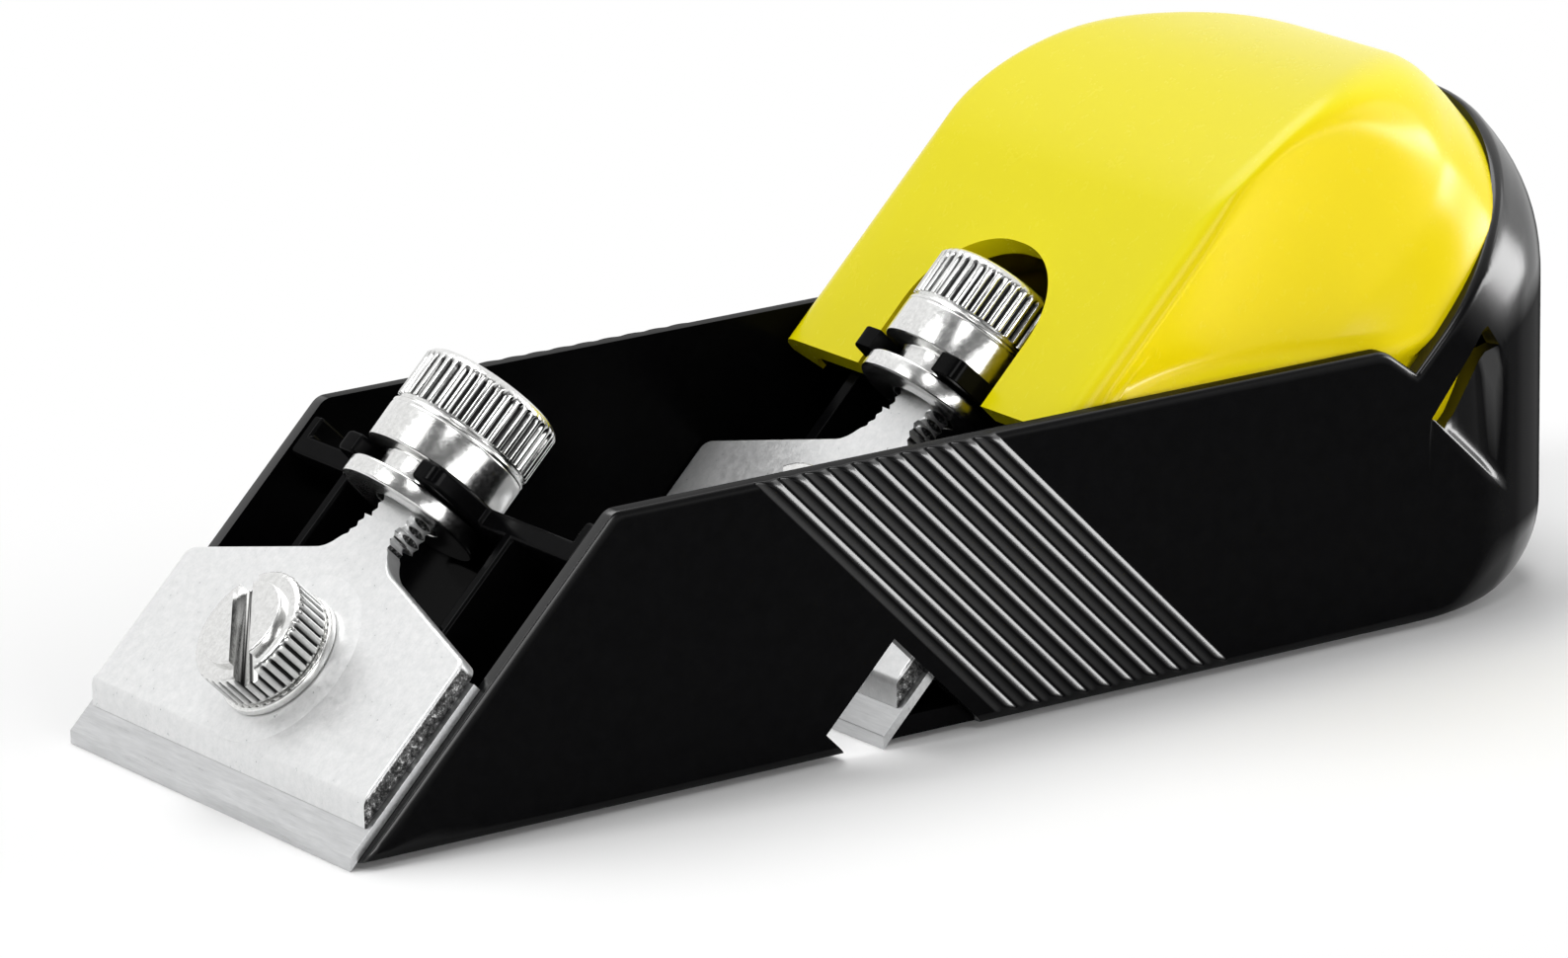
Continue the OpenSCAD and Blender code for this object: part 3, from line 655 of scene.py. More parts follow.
tab_upper = tab_tip_z + (tab_top_z - tab_tip_z) * tab_share + (tab_back_z - tab_top_z) * back_share
tab_lower = tab_tip_z + (tab_foot_z - tab_tip_z) * whole_share
upper = np.where(in_tab, tab_upper, 0)
upper = np.where(column_x < tab_back_x - 0.2, tab_back_z + (36 - tab_back_z) * beyond, upper)
line_above_notch = 26.5
upper = np.where(column_x > tab_tip_x + tiny, tab_tip_z + (line_above_notch - tab_tip_z) * ahead_share, upper)
upper = np.where(from_notch, head_z * line_above_notch / wall_height, upper)
tab_climb = (tab_top_z - tab_tip_z) / (tab_tip_x - tab_top_x)
slit_gap = 1.6 + 1.2 * smooth_step(tab_share, 0, 0.5)
tab_edge = tab_tip_z + tab_climb * (tab_tip_x - column_x) - slit_gap * math.hypot(1, tab_climb)
under_slit = np.minimum(np.maximum(tab_edge, tab_lower + 0.2), upper - 0.02)
below = np.where(in_tab, under_slit, upper - np.minimum(0.5, 0.02 * head_z))
slit_open = in_tab & (upper - below > 0.05)
lower = np.minimum(below - 0.3 * head_z / wall_height, tab_foot_z + 8 * beyond + 9 * ahead_share)
lower = np.where(in_tab, tab_lower, lower)
lower = np.where(from_notch, head_z * 0.75, lower)
notch_edge = np.where(from_notch, np.maximum((notch_top - line) / 2, 2.47), 10.6)
notch_edge = np.minimum(notch_edge, head_z * 0.5)
ground = np.minimum(3 - 1.0 * np.clip((line + 20) / (notch_left + 20), 0, 1), head_z * 0.3)
towards_heel = np.clip((slide_start - column_x) / (slide_start - corner_start), 0, 1)
ground = ground + (heel_bottom - ground) * towards_heel

rim_rows = rim_round * (1 - np.cos(np.radians(steps(0, 5, 90))))[:, None]
top_rows = np.array([0.2, 0.3, 0.4, 0.5, 0.6, 0.7, 0.8, 0.9])[:, None]
tab_rows = 1 - np.linspace(1, 0, 15)[:-1, None] ** 1.6
few_rows = np.linspace(0, 1, 4)[:-1, None]
turn_rows = 1 - np.sin(np.radians(steps(0, 16, 90)))[:, None]
height = np.vstack([
    head_z - np.minimum(rim_rows, 0.1 * rim_rows * (head_z - upper)),
    head_z + (upper - head_z) * top_rows,
    upper[None],
    below + (lower - below) * tab_rows,
    lower + (notch_edge - lower) * few_rows,
    notch_edge + (ground - notch_edge) * few_rows,
    ground * turn_rows,
])
slit_row = len(rim_rows) + len(top_rows)
notch_row = slit_row + 1 + len(tab_rows) + len(few_rows)
edge_row = len(height) - 1

fold_depth, fold_width, tab_slope = 0.6, 1.1, 0.1
from_fold = (height - lower) * root_half
under_slit_row = np.arange(len(height))[:, None] > slit_row
inside_tab = in_tab & (height <= below + 0.001) & (height >= lower - 0.001) & under_slit_row
pressed = fold_depth * smooth_step(from_fold, 0, fold_width) + tab_slope * np.clip(from_fold, 0, None)
tab_depth = np.where(inside_tab, pressed * (1 - smooth_step(back_share, 0, 1)), 0)
tab_depth = tab_depth * np.where(slit_open, 1, smooth_step(upper - height, 0, 3.0))

from_rib = (foot - first_rib) / rib_pitch
nearest = np.clip(np.round(-from_rib), 0, rib_count - 1)
rib_distance = (from_rib + nearest) * rib_pitch / math.sqrt(2)
rib_profile = np.clip(1 - (rib_distance / rib_half) ** 2, 0, 1) * (np.abs(lean - 1) < tiny)
wall_z = height[:, :wall_columns]
fade = np.clip((wall_z - rib_low + 0.5) / 0.9, 0, 1) * np.clip((rib_high + 0.5 - wall_z) / 0.9, 0, 1)
ribs = rib_height * rib_profile * fade**2 * (3 - 2 * fade)

# %% Outer and inner faces of the sheet
outer_x, outer_y = sheet_point(height, 0, tab_depth, ribs)
inner_head_z = strap_z + (head_z - strap_z) * (half_width - wall) / half_width
strap_drop = head_z - np.where(wall_part, head_z, inner_head_z)
near_top = np.clip((height - upper) / np.maximum(head_z - upper, 0.01), 0, 1)
inner_z = np.maximum(height - strap_drop * near_top, sole)
inner_x, inner_y = sheet_point(inner_z, wall, tab_depth, 0)

sole_share = np.array([0.024, 0.5, 1])[:, None]
spine = np.maximum(outer_x[-1], corner_start)
under_x = outer_x[-1] + (spine - outer_x[-1]) * sole_share
under_y = outer_y[-1] * (1 - sole_share)
slanted = [notch_left + sole, mouth_left - sole, notch_right + sole]
over_mouth = np.interp(line, [notch_left, mouth_left, notch_right], slanted)
over_x = np.where(from_notch & up_to_notch_right, over_mouth, inner_x[-1])
over_x = over_x + (np.maximum(over_x, corner_start) - over_x) * np.array([0, 0.5, 1])[:, None]
over_y = inner_y[-1] * np.array([1, 0.5, 0])[:, None]


def below_each_other(*pairs):
    """One grid of points from the upper and lower rows of its x, y and z."""
    return np.stack([np.vstack(pair) for pair in pairs], axis=-1)


outer = below_each_other((outer_x, under_x), (outer_y, under_y), (height, 0 * under_x))
inner = below_each_other((inner_x, over_x), (inner_y, over_y), (inner_z, 0 * over_x + sole))

present = np.ones((len(outer) - 1, columns - 1), bool)
in_notch = up_to_notch_right[:-1] & from_notch[1:]
in_mouth = up_to_notch_right[:-1] & (line[1:] > mouth_left - tiny)
present[slit_row, (slit_open[:-1] & in_tab[1:]) | (slit_open[1:] & in_tab[:-1])] = False
present[notch_row:edge_row + 1, in_notch] = False
present[edge_row + 1:, in_mouth] = False


# %% Closed sheet from its two faces


def closed_sheet(outer, inner, present, last_row_meets=False):
    """Points and faces of a closed sheet: the outer grid's cells, the inner grid's, and a face
    across the sheet's thickness wherever a cell borders on a missing one or on the grid's edge,
    except along the last row where that meets itself."""
    rows, columns = outer.shape[:2]
    index = np.arange(rows * columns).reshape(rows, columns)
    cell = grid_quads(rows, columns)[present.ravel()]
    framed = np.pad(present, 1)
    if last_row_meets:
        framed[-1] = framed[-2]
    level = framed[1:, 1:-1] != framed[:-1, 1:-1]
    upright = framed[1:-1, 1:] != framed[1:-1, :-1]
    level_edges = np.stack([index[:, :-1][level], index[:, 1:][level]], axis=-1)
    upright_edges = np.stack([index[:-1][upright], index[1:][upright]], axis=-1)
    edges = np.vstack([level_edges, upright_edges])
    across = np.hstack([edges, edges[:, ::-1] + index.size])
    points = np.vstack([outer.reshape(-1, 3), inner.reshape(-1, 3)])
    return points, np.vstack([cell, cell[:, ::-1] + index.size, across])


def mirrored(grid):
    """A half grid followed by its mirror image in Y, joined at the last column."""
    return np.concatenate([grid, grid[:, -2::-1] * [1, -1, 1]], axis=1)


both_sides = np.hstack([present, present[:, ::-1]])
points, faces = closed_sheet(mirrored(outer), mirrored(inner), both_sides, last_row_meets=True)
build("pressed_body", points, faces, ["body_shell"], bevel=0.3, bevel_angle=40)

# %% [markdown]
# ## The palm grip
#
# The grip is drawn as a stack of sections that lie parallel to the middle bed, from its front
# face back into the heel. Each section is an arch: straight sides, rounded upper corners and a
# level top. Going back, the top climbs along a flattened ellipse and the corners grow until
# the section is half a circle, which fits into the heel's rim.
#
# The front face turns into the sides over a 3 mm radius. A shallow hollow for the fingers is
# taken out of each side. It starts behind the face, has a small ledge just above the body's
# wall, and fades away towards the crown and the back.

# %% Palm grip's surface
grip_face, grip_half, grip_shell = 3.2, 24.2, 2.6
crown_top, crown_drop, crown_depth, crown_power, crown_ease = 93.0, 33.4, 26.8, 0.54, 0.44
face_round = 3.0
strap_depth, strap_along, rim_swell = grip_face + 27.08, 68.8, 1.25
strap_clearance, heel_taper, heel_slimming = 0.3, 1.1, 2.8
crown_ease_depth, crown_ease_width = 10.7, 5
arch_half, arch_foot, arch_top = 10.3, 34.3, 52.0
arch_counts = 44, 26, 14
corner_least, corner_growth, corner_blend = 1.5, 0.85, 5
hollow_depth, hollow_middle, hollow_reach, hollow_back_reach = 3.0, -9.5, 11.5, 20.0


def arch_outline(half, foot, top, radius, side_count, arc_count, top_count):
    """Outline of an arch as places up the bed and across it, from the foot at the left side
    over the top to the foot at the right side. All sizes may be columns of values."""
    up_side = np.linspace(0, 1, side_count, endpoint=False)
    turn = np.radians(np.linspace(0, 90, arc_count, endpoint=False))
    over = np.linspace(0, 1, top_count)
    half, foot, top = half + 0 * radius, foot + 0 * radius, top + 0 * radius
    along = [foot + (top - radius - foot) * up_side, top - radius + radius * np.sin(turn), top + 0 * over]
    across = [half + 0 * up_side, half - radius + radius * np.cos(turn), (half - radius) * (1 - over)]
    along, across = np.hstack(along), np.hstack(across)
    return np.hstack([along, along[:, -2::-1]]), np.hstack([across, -across[:, -2::-1]])


def grip_sections(depth, inset):
    """Rows of points of the grip's shell, grown smaller by inset. The top stands under the
    crown by drop * (1 - (1 - t*t) ** power), t the share of the crown's depth still ahead, and
    is eased a little round its highest place. Just ahead of the strap the shell swells a
    little, so that it covers the sheet's cut edge."""
    depth = depth[:, None]
    ahead = np.clip(1 - depth / crown_depth, 0, 1)
    behind = np.clip(depth - strap_depth, 0, None)
    shrink = strap_clearance * smooth_step(behind, 0.1, 0.6) + heel_taper * np.clip(behind - 0.6, 0, None)
    slimmer = heel_slimming * smooth_step(behind, 8.0, 9.2)
    top = crown_top - crown_drop * (1 - (1 - ahead**2) ** crown_power) - inset - shrink
    top = top - crown_ease * np.exp(-(((depth - crown_ease_depth) / crown_ease_width) ** 2))
    half = grip_half - edge_inset(face_round, depth) - inset - slimmer
    growing = corner_least + corner_growth * depth
    closeness = np.clip(1 - np.abs(growing - half) / corner_blend, 0, 1)
    corner = np.minimum(growing, half) - corner_blend / 4 * closeness**2
    foot = np.maximum(arch_foot + 5.2 * smooth_step(depth, 3.0, 3.4), 24.04 + depth - grip_face)
    along, across = arch_outline(half, foot, top, corner, *arch_counts)
    out = grip_face - depth - inset * (1 - smooth_step(depth, 0, 20))
    height = (out + along) * root_half
    fade = smooth_step(height, 27.8, 30.2) * (1 - smooth_step(along, 56, 88))
    from_middle = (out - hollow_middle) / np.where(out > hollow_middle, hollow_reach, hollow_back_reach)
    level = np.clip(1 - from_middle**2, 0, 1)
    hollow = hollow_depth * np.where(out > hollow_middle, level, level**2) * fade
    softness = 0.15 + 4.0 * smooth_step(along, 55, 78)
    excess = np.abs(across) - (grip_half - inset - hollow)
    cut = np.where(excess > -softness, np.clip(excess + softness, 0, 2 * softness) ** 2 / (4 * softness), 0)
    cut = np.where(excess > softness, excess, cut)
    swell = rim_swell * smooth_step(depth, strap_depth - 9, strap_depth - 0.3)
    swell = swell * (1 - smooth_step(behind, 0, 0.08)) * (1 - 0.7 * smooth_step(along, 80, 92))
    grown = 1 + swell * smooth_step(height, 26.4, 29.5) / grip_half
    across = (across - np.sign(across) * cut) * grown
    along = np.where(along > strap_along, strap_along + (along - strap_along) * grown, along)
    return on_bed("middle", along, across, out)


round_depths = 0.03 + face_round * (1 - np.cos(np.radians(steps(0, 14, 86))))
strap_depths = steps(strap_depth, 2, strap_depth + 0.1, 4, strap_depth + 0.8, 12, 38.2, 6, 39.6)
depths = np.concatenate([round_depths, steps(2.85, 50, strap_depth)[1:-1], strap_depths])
section_grid = grip_sections(depths, 0)
inner_grid = grip_sections(depths, grip_shell)
arch_corner = np.array([[arch_half - 0.5]])
arch_along, arch_across = arch_outline(arch_half, arch_foot, arch_top, arch_corner, *arch_counts)
share = np.linspace(0, 1, 5)[:-1, None, None]


def front_cap(grid, out):
    """Flat face between the arched opening and a grid's first section."""
    arch_edge = on_bed("middle", arch_along, arch_across, np.full(arch_along.shape, out))
    return arch_edge + (grid[:1] - arch_edge) * share


def back_cap(grid):
    """Closes a grid behind its last section, drawing it together to the middle."""
    middle = grid[-1:].mean(axis=1, keepdims=True)
    return grid[-1:] + (middle - grid[-1:]) * np.array([0.3, 0.7, 1])[:, None, None]


outer = np.concatenate([front_cap(section_grid, grip_face), section_grid, back_cap(section_grid)])
inner = np.concatenate([front_cap(inner_grid, grip_face - grip_shell), inner_grid, back_cap(inner_grid)])
whole = np.ones((len(outer) - 1, outer.shape[1] - 1), bool)
points, faces = closed_sheet(outer, inner, whole, last_row_meets=True)
build("moulded_grip", points, faces, ["palm_grip"], sharp=40, bevel=0.3, bevel_angle=60)

# %% [markdown]
# ## Turned pieces
#
# Nuts, screws and washers come from a lathe, so each is a profile spun about its axis. Their
# profiles have softened corners, because a turned edge is never quite sharp. A straight knurl
# is a set of shallow grooves pressed along the head: their floor is narrow, their sides slope,
# and they run out before the head's chamfer.

# %% Turned pieces
nut_axis, nut_radius, nut_bore, groove_radius = 1.0, 7.5, 3.48, 5.05
nut_low, groove_low, groove_high, head_low, nut_high = 32.8, 34.7, 37.1, 41.5, 47.7
screw_place, screw_low, screw_head, boss_height = 14.5, 4.2, 4.4, 0.76
screw_radius, boss_radius, shank_radius, screw_tip = 6.35, 4.7, 2.0, -9.1
slot_width, slot_depth, slot_turn = 2.4, 2.2, math.radians(44)
nut_grooves, nut_groove, screw_grooves, screw_groove, points_per_groove = 44, 0.4, 38, 0.38, 8
washer_radius, washer_low, washer_high, washer_bore = 6.7, 3.15, 4.15, 2.08


def softened(corners, radius, count=4, closed=True):
    """Replaces each corner of an outline by a short curve, a quadratic one whose middle point
    is the corner, which starts and ends at the radius from it or at 0.45 of a shorter side."""
    corners = np.asarray(corners, float)
    sides = [np.roll(corners, shift, axis=0) - corners for shift in (1, -1)]
    lengths = [np.linalg.norm(side, axis=1, keepdims=True) for side in sides]
    start, end = (
        (corners + side / length * np.minimum(radius, 0.45 * length))[:, None]
        for side, length in zip(sides, lengths)
    )
    share = np.linspace(0, 1, count)[None, :, None]
    curve = (1 - share) ** 2 * start + 2 * share * (1 - share) * corners[:, None] + share**2 * end
    if not closed:
        curve[0], curve[-1] = corners[0], corners[-1]
    return curve.reshape(-1, 2)


def knurl(turn, count):
    """Share of the groove's depth round a head: 1 on a groove's floor, 0 on the ribs."""
    from_groove = np.abs((turn * count / (2 * np.pi)) % 1 - 0.5) * 2
    return 1 - smooth_step(from_groove, 0.12, 0.62)


def spun(profile, cut, count, grooves):
    """Distances along the axis and to both sides of it, for a profile spun about it, with a
    share of the knurl's grooves cut from each of its points."""
    turn = np.linspace(0, 2 * np.pi, count, endpoint=False)
    radius = profile[:, 1:] - cut[:, None] * knurl(turn, grooves)
    return profile[:, :1] + 0 * turn, radius * np.cos(turn), radius * np.sin(turn)


def mark_grooves(piece, bed, middle, axis, first, last, radius, depth):
    """Gives a knurled piece the attribute named groove: how deep each point lies under the
    head's radius, as a share of the grooves' depth, between two places along the axis. The
    axis is along the bed, or out of it."""
    x, across, z = mesh_points(piece.data).T
    x = x - bed_foot[bed]
    along, out = (z - x) * root_half, (z + x) * root_half
    place, aside = (along, out - middle) if axis == "along" else (out, along - middle)
    under = (radius - np.hypot(aside, across)) / depth
    share = np.where((place > first) & (place < last) & (under < 1.1), np.clip(1.7 * under, 0, 1), 0)
    groove = piece.data.attributes.new("groove", "FLOAT", "POINT")
    groove.data.foreach_set("value", share.astype(np.float32))


def adjusting_nut(bed):
    """Knurled nut: flange, fork groove, sleeve with a fine ring line, and knurled head."""
    ring, knurl_start, chamfer = head_low + 0.45, head_low + 0.5, 0.8
    low_part = softened([
        (nut_low, nut_bore), (nut_low, nut_radius), (groove_low, nut_radius), (groove_low, groove_radius),
        (groove_high, groove_radius), (groove_high, nut_radius), (head_low - 0.5, nut_radius),
        (head_low - 0.42, nut_radius - 0.1), (head_low - 0.34, nut_radius), (head_low, nut_radius),
        (head_low, nut_radius - 0.35), (ring, nut_radius - 0.35),
    ], 0.25)
    run_out = nut_high - chamfer - np.array([0.8, 0.45, 0.2, 0])
    head = np.array([
        (knurl_start, nut_radius - 0.35), (knurl_start, nut_radius - 0.06), (knurl_start + 0.12, nut_radius),
        *[(place, nut_radius) for place in run_out], (nut_high - 0.35, nut_radius - 0.32),
        (nut_high - 0.1, nut_radius - 0.68), (nut_high, nut_radius - 0.95), (nut_high, nut_bore + 0.5),
        (nut_high - 0.5, nut_bore),
    ])
    cuts = nut_groove * np.array([0, 0.75, 1, 1, 0.75, 0.3, 0, 0, 0, 0, 0, 0])
    profile = np.vstack([low_part, head])
    cut = np.concatenate([np.zeros(len(low_part)), cuts])
    along, across, out = spun(profile, cut, nut_grooves * points_per_groove, nut_grooves)
    points = on_bed(bed, along, across, nut_axis + out)
    nut = build(bed + "_knurled_nut", points, looped_quads(*along.shape), [bed + "_nut"], sharp=50)
    mark_grooves(nut, bed, nut_axis, "along", knurl_start + 0.06, nut_high - 0.9, nut_radius, nut_groove)


def lock_screw(bed):
    """Knurled lock screw: shank, knurled head, raised boss, and a slot sawn across the boss."""
    top = screw_low + screw_head
    shank = [(screw_tip, 0), (screw_tip, shank_radius), (screw_low, shank_radius)]
    low_part = softened(shank, 0.4, closed=False)
    head = np.array([
        (screw_low, screw_radius - 0.5), (screw_low + 0.15, screw_radius - 0.15),
        (screw_low + 0.4, screw_radius), (screw_low + 0.7, screw_radius),
        (top - 0.9, screw_radius), (top - 0.5, screw_radius),
        (top - 0.25, screw_radius - 0.08), (top - 0.07, screw_radius - 0.3), (top, screw_radius - 0.6),
    ])
    boss_top = top + boss_height
    boss = softened([(top, boss_radius), (boss_top, boss_radius), (boss_top, 0)], 0.25, closed=False)
    profile = np.vstack([low_part, head, boss])
    cuts = np.array([0, 0.1, 0.3, 0.38, 0.38, 0.2, 0.05, 0, 0])
    cut = np.concatenate([np.zeros(len(low_part)), cuts, np.zeros(len(boss))])
    out, along, across = spun(profile, cut, screw_grooves * points_per_groove, screw_grooves)
    points = on_bed(bed, screw_place + along, across, out)
    faces = grid_quads(*out.shape, around=True)
    screw = build(bed + "_knurled_screw", points, faces, [bed + "_lock_screw"], sharp=50)
    saw_slot(screw, bed, boss_top)
    mark_grooves(screw, bed, screw_place, "out", screw_low + 0.3, top - 0.3, screw_radius, screw_groove)


def saw_slot(screw, bed, top):
    """Cuts the slot out of a screw's head with a box turned about the screw's axis."""
    square = (-1, -1), (1, -1), (1, 1), (-1, 1)
    corner = np.array([(a, b, level) for level in (0, 1) for a, b in square], float)
    length, width = corner[:, 0] * screw_radius * 1.5, corner[:, 1] * slot_width / 2
    along = length * math.cos(slot_turn) - width * math.sin(slot_turn)
    across = -(length * math.sin(slot_turn) + width * math.cos(slot_turn))
    out = top - slot_depth + corner[:, 2] * 2 * slot_depth
    mesh = bpy.data.meshes.new("slot_saw")
    points = on_bed(bed, screw_place + along, across, out) * millimetre
    mesh.from_pydata(points.tolist(), [], capped_faces(2, 4))
    saw = new_object("slot_saw", mesh)
    cut = screw.modifiers.new("slot", "BOOLEAN")
    cut.object, cut.operation, cut.solver = saw, "DIFFERENCE", "EXACT"
    graph = bpy.context.evaluated_depsgraph_get()
    result = bpy.data.meshes.new_from_object(screw.evaluated_get(graph))
    screw.modifiers.clear()
    screw.data = result
    screw.data.set_sharp_from_angle(angle=math.radians(50))
    bpy.data.objects.remove(saw)


def lock_washer(bed):
    """Plain turned washer under the lock screw's head."""
    profile = softened([
        (washer_low, washer_bore), (washer_low, washer_radius),
        (washer_high, washer_radius), (washer_high, washer_bore),
    ], 0.3)
    out, along, across = spun(profile, np.zeros(len(profile)), 96, 1)
    points = on_bed(bed, screw_place + along, across, out)
    build(bed + "_turned_washer", points, looped_quads(*out.shape), [bed + "_lock_washer"], sharp=50)


for bed in bed_foot:
    adjusting_nut(bed)
    lock_screw(bed)
    lock_washer(bed)

# %% [markdown]
# ## Cast holders and ground blades
#
# A holder is a flat zinc casting. Its outline goes up the side, over a rounded shoulder, along
# a slope and through a wide fillet into the tang, whose edges carry the thread's teeth. The
# casting's upper edge is rounded, and its lip slopes down to the blade. A low round pad lies
# under the washer. The blade below it is a plain strip with a ground bevel.

# %% Holders and blades
holder_low, holder_high, holder_half = 1.05, 2.95, 24.25
lip_low, lip_high, shoulder, neck = 3.13, 4.98, 21.13, 27.13
shoulder_radius, neck_radius, tang_half, tang_end = 1.4, 5.0, 3.1, 44.5
pad_radius, pad_height = 9.5, 0.15
thread_pitch, thread_depth, thread_start = 1.0, 0.45, 28.4
holder_edge, blade_corner, tang_radius, tang_flat = 0.4, 0.04, 3.4, 1.4
blade_half, blade_edge, blade_end, blade_low, blade_high = 25.0, -0.97, 20.03, 0.05, 1.0


def rounded_corner(before, corner, after, radius, count):
    """Points of the arc that rounds a corner between two straight sides."""
    before, corner, after = (np.array(point, float) for point in (before, corner, after))
    to_before, to_after = (v / np.linalg.norm(v) for v in (before - corner, after - corner))
    half = math.acos(np.clip(to_before @ to_after, -1, 1)) / 2
    bisector = (to_before + to_after) / np.linalg.norm(to_before + to_after)
    middle = corner + bisector * radius / math.sin(half)
    reach = radius / math.tan(half)
    start, end = corner + to_before * reach - middle, corner + to_after * reach - middle
    sweep = math.pi - 2 * half
    share = np.linspace(0, 1, count)[:, None]
    return middle + (np.sin((1 - share) * sweep) * start + np.sin(share * sweep) * end) / math.sin(sweep)


def inset_outline(outline, distance):
    """Moves a closed outline inwards along its own normals, whichever way round it runs, and
    hardly at all on the thread's teeth, which are too fine for it. A normal stands square to
    the line between a point's neighbours, so at the lip's corners it points up the bed."""
    after = np.roll(outline, -1, axis=0)
    tangent = after - np.roll(outline, 1, axis=0)
    tangent /= np.linalg.norm(tangent, axis=1, keepdims=True)
    way_round = np.sign(np.sum(outline[:, 0] * after[:, 1] - outline[:, 1] * after[:, 0]))
    inwards = way_round * np.stack([-tangent[:, 1], tangent[:, 0]], axis=-1)
    fade = 1 - 0.9 * smooth_step(outline[:, 0], thread_start - 2.4, thread_start - 0.6)
    return outline + distance * fade[:, None] * inwards


def slab(bed, low_outline, high_outline, low, high, edge):
    """Closed slab between two outlines of equally many points up the bed and across it, with
    its upper edge rounded by four rings."""
    turn = np.radians([0, 30, 60, 90])
    rises = np.concatenate([[0], (high - low - edge + edge * np.sin(turn)) / (high - low)])
    insets = np.concatenate([[0], edge * (1 - np.cos(turn))])
    rings = []
    for rise, inset in zip(rises, insets):
        ring = inset_outline(low_outline + (high_outline - low_outline) * rise, inset)
        rings.append(on_bed(bed, ring[:, 0], ring[:, 1], low + (high - low) * rise))
    return np.concatenate(rings), capped_faces(len(rings), len(low_outline))


def holder_outline(lip):
    """Outline of a holder seen square to the bed, from the lip's left end round to its right."""
    corners = [(lip, holder_half), (shoulder, holder_half), (neck, tang_half), (neck + 12, tang_half)]
    shoulder_arc = rounded_corner(corners[0], corners[1], corners[2], shoulder_radius, 8)
    neck_arc = rounded_corner(corners[1], corners[2], corners[3], neck_radius, 49)
    teeth = np.abs(((neck_arc[:, 0] - thread_start) / thread_pitch) % 1 - 0.5) * 2
    threaded = smooth_step(neck_arc[:, 0], thread_start - 0.6, thread_start + 0.4)
    neck_arc[:, 1] -= thread_depth * teeth * threaded
    side = np.linspace((lip_high + 1, holder_half), shoulder_arc[0], 6)[:-1]
    left = np.vstack([[(lip, holder_half)], side, shoulder_arc, neck_arc])
    return np.vstack([left, left[::-1] * [1, -1]])


def threaded_tang(bed):
    """Points and quads of the tang: a flattened rod whose radius rises and falls along it with
    the thread, cut flat above and below."""
    along = np.arange(neck + 2.5, tang_end, thread_pitch / 8)
    turn = np.linspace(0, 2 * np.pi, 48, endpoint=False)
    wave = np.abs((along / thread_pitch) % 1 - 0.5) * 2
    end = np.clip((tang_end - along) / 0.8, 0, 1)
    radius = (tang_radius - thread_depth * wave) * (0.85 + 0.15 * end)
    across = np.clip(radius[:, None] * np.cos(turn), -tang_half, tang_half)
    out = nut_axis + np.clip(radius[:, None] * np.sin(turn), -tang_flat, tang_flat)
    points = on_bed(bed, along[:, None] + 0 * turn, across, out).reshape(-1, 3)
    return points, capped_faces(len(along), len(turn))


def pad(bed):
    """Points and faces of the low round pad that carries the lock washer."""
    turn = np.linspace(0, 2 * np.pi, 96, endpoint=False)
    edge = np.array([(0, -2.0), (0, 0), (0.6, 0.45), (1.3, 0.85), (2.0, 1.0)])
    rings = np.array([pad_radius, 0]) + edge * [-1, pad_height]
    along, across = rings[:, :1] * np.cos(turn), rings[:, :1] * np.sin(turn)
    points = on_bed(bed, screw_place + along, across, holder_high + rings[:, 1:]).reshape(-1, 3)
    return points, capped_faces(len(rings), len(turn))


def joined(*parts):
    """Several lists of points and faces as one."""
    points, faces = [], []
    for part_points, part_faces in parts:
        start = sum(len(p) for p in points)
        points.append(part_points)
        faces += [[start + corner for corner in face] for face in part_faces]
    return np.vstack(points), faces


def weighted(piece):
    """Lets the large flat faces keep their normals, so that only a piece's edges shade."""
    modifier = piece.modifiers.new("flat_faces_first", "WEIGHTED_NORMAL")
    modifier.keep_sharp = True
    modifier.weight = 90


def holder(bed):
    """Cast holder: plate, pad and threaded tang."""
    plate = slab(bed, holder_outline(lip_low), holder_outline(lip_high), holder_low, holder_high, holder_edge)
    points, faces = joined(plate, pad(bed), threaded_tang(bed))
    weighted(build(bed + "_cast_holder", points, faces, [bed + "_holder"], sharp=55))


def blade(bed):
    """Ground blade: a strip whose leading edge is bevelled at 45 degrees."""
    thickness = blade_high - blade_low
    left = np.array([(blade_edge, blade_half), (blade_end, blade_half)])
    low = np.vstack([left, left[::-1] * [1, -1]])
    high = low + np.array([(thickness, 0), (0, 0), (0, 0), (thickness, 0)])
    points, faces = slab(bed, low, high, blade_low, blade_high, blade_corner)
    weighted(build(bed + "_ground_blade", points, faces, [bed + "_blade"], sharp=30))


def frog(bed):
    """The frog's CAD mesh with its doubles merged, its flat faces whole and its edges rounded."""
    work = bmesh.new()
    work.from_mesh(nodes[bed + "_frog"].data)
    bmesh.ops.remove_doubles(work, verts=work.verts, dist=0.002 * millimetre)
    bmesh.ops.dissolve_limit(work, angle_limit=math.radians(1), verts=work.verts, edges=work.edges)
    copy = bpy.data.meshes.new(bed + "_sheet_frog")
    work.to_mesh(copy)
    work.free()
    faces = [list(polygon.vertices) for polygon in copy.polygons]
    build(bed + "_sheet_frog", mesh_points(copy), faces, [bed + "_frog"], bevel=0.45, bevel_angle=40)


for bed in bed_foot:
    holder(bed)
    blade(bed)
    frog(bed)

# %% CAD nodes take their finishes
for name, node in nodes.items():
    for material_slot in node.material_slots:
        material_slot.material = finishes[slot_of[name]]
print("finishes given to", len(nodes), "CAD nodes")

# %% [markdown]
# ## Studio
#
# As in a catalogue picture, the plane stands on a white floor before a white background, with a
# dimmer room behind the camera, which gives the metal something darker to show. The world adds
# little light of its own. A large softbox hangs overhead, a low lamp lights the near side, and
# small ones in front and beyond the toe fill the grip's face. Two panels beyond the heel make
# the highlights on its rounded end. Near the object the floor keeps the shadow, and farther
# away it fades to plain white.

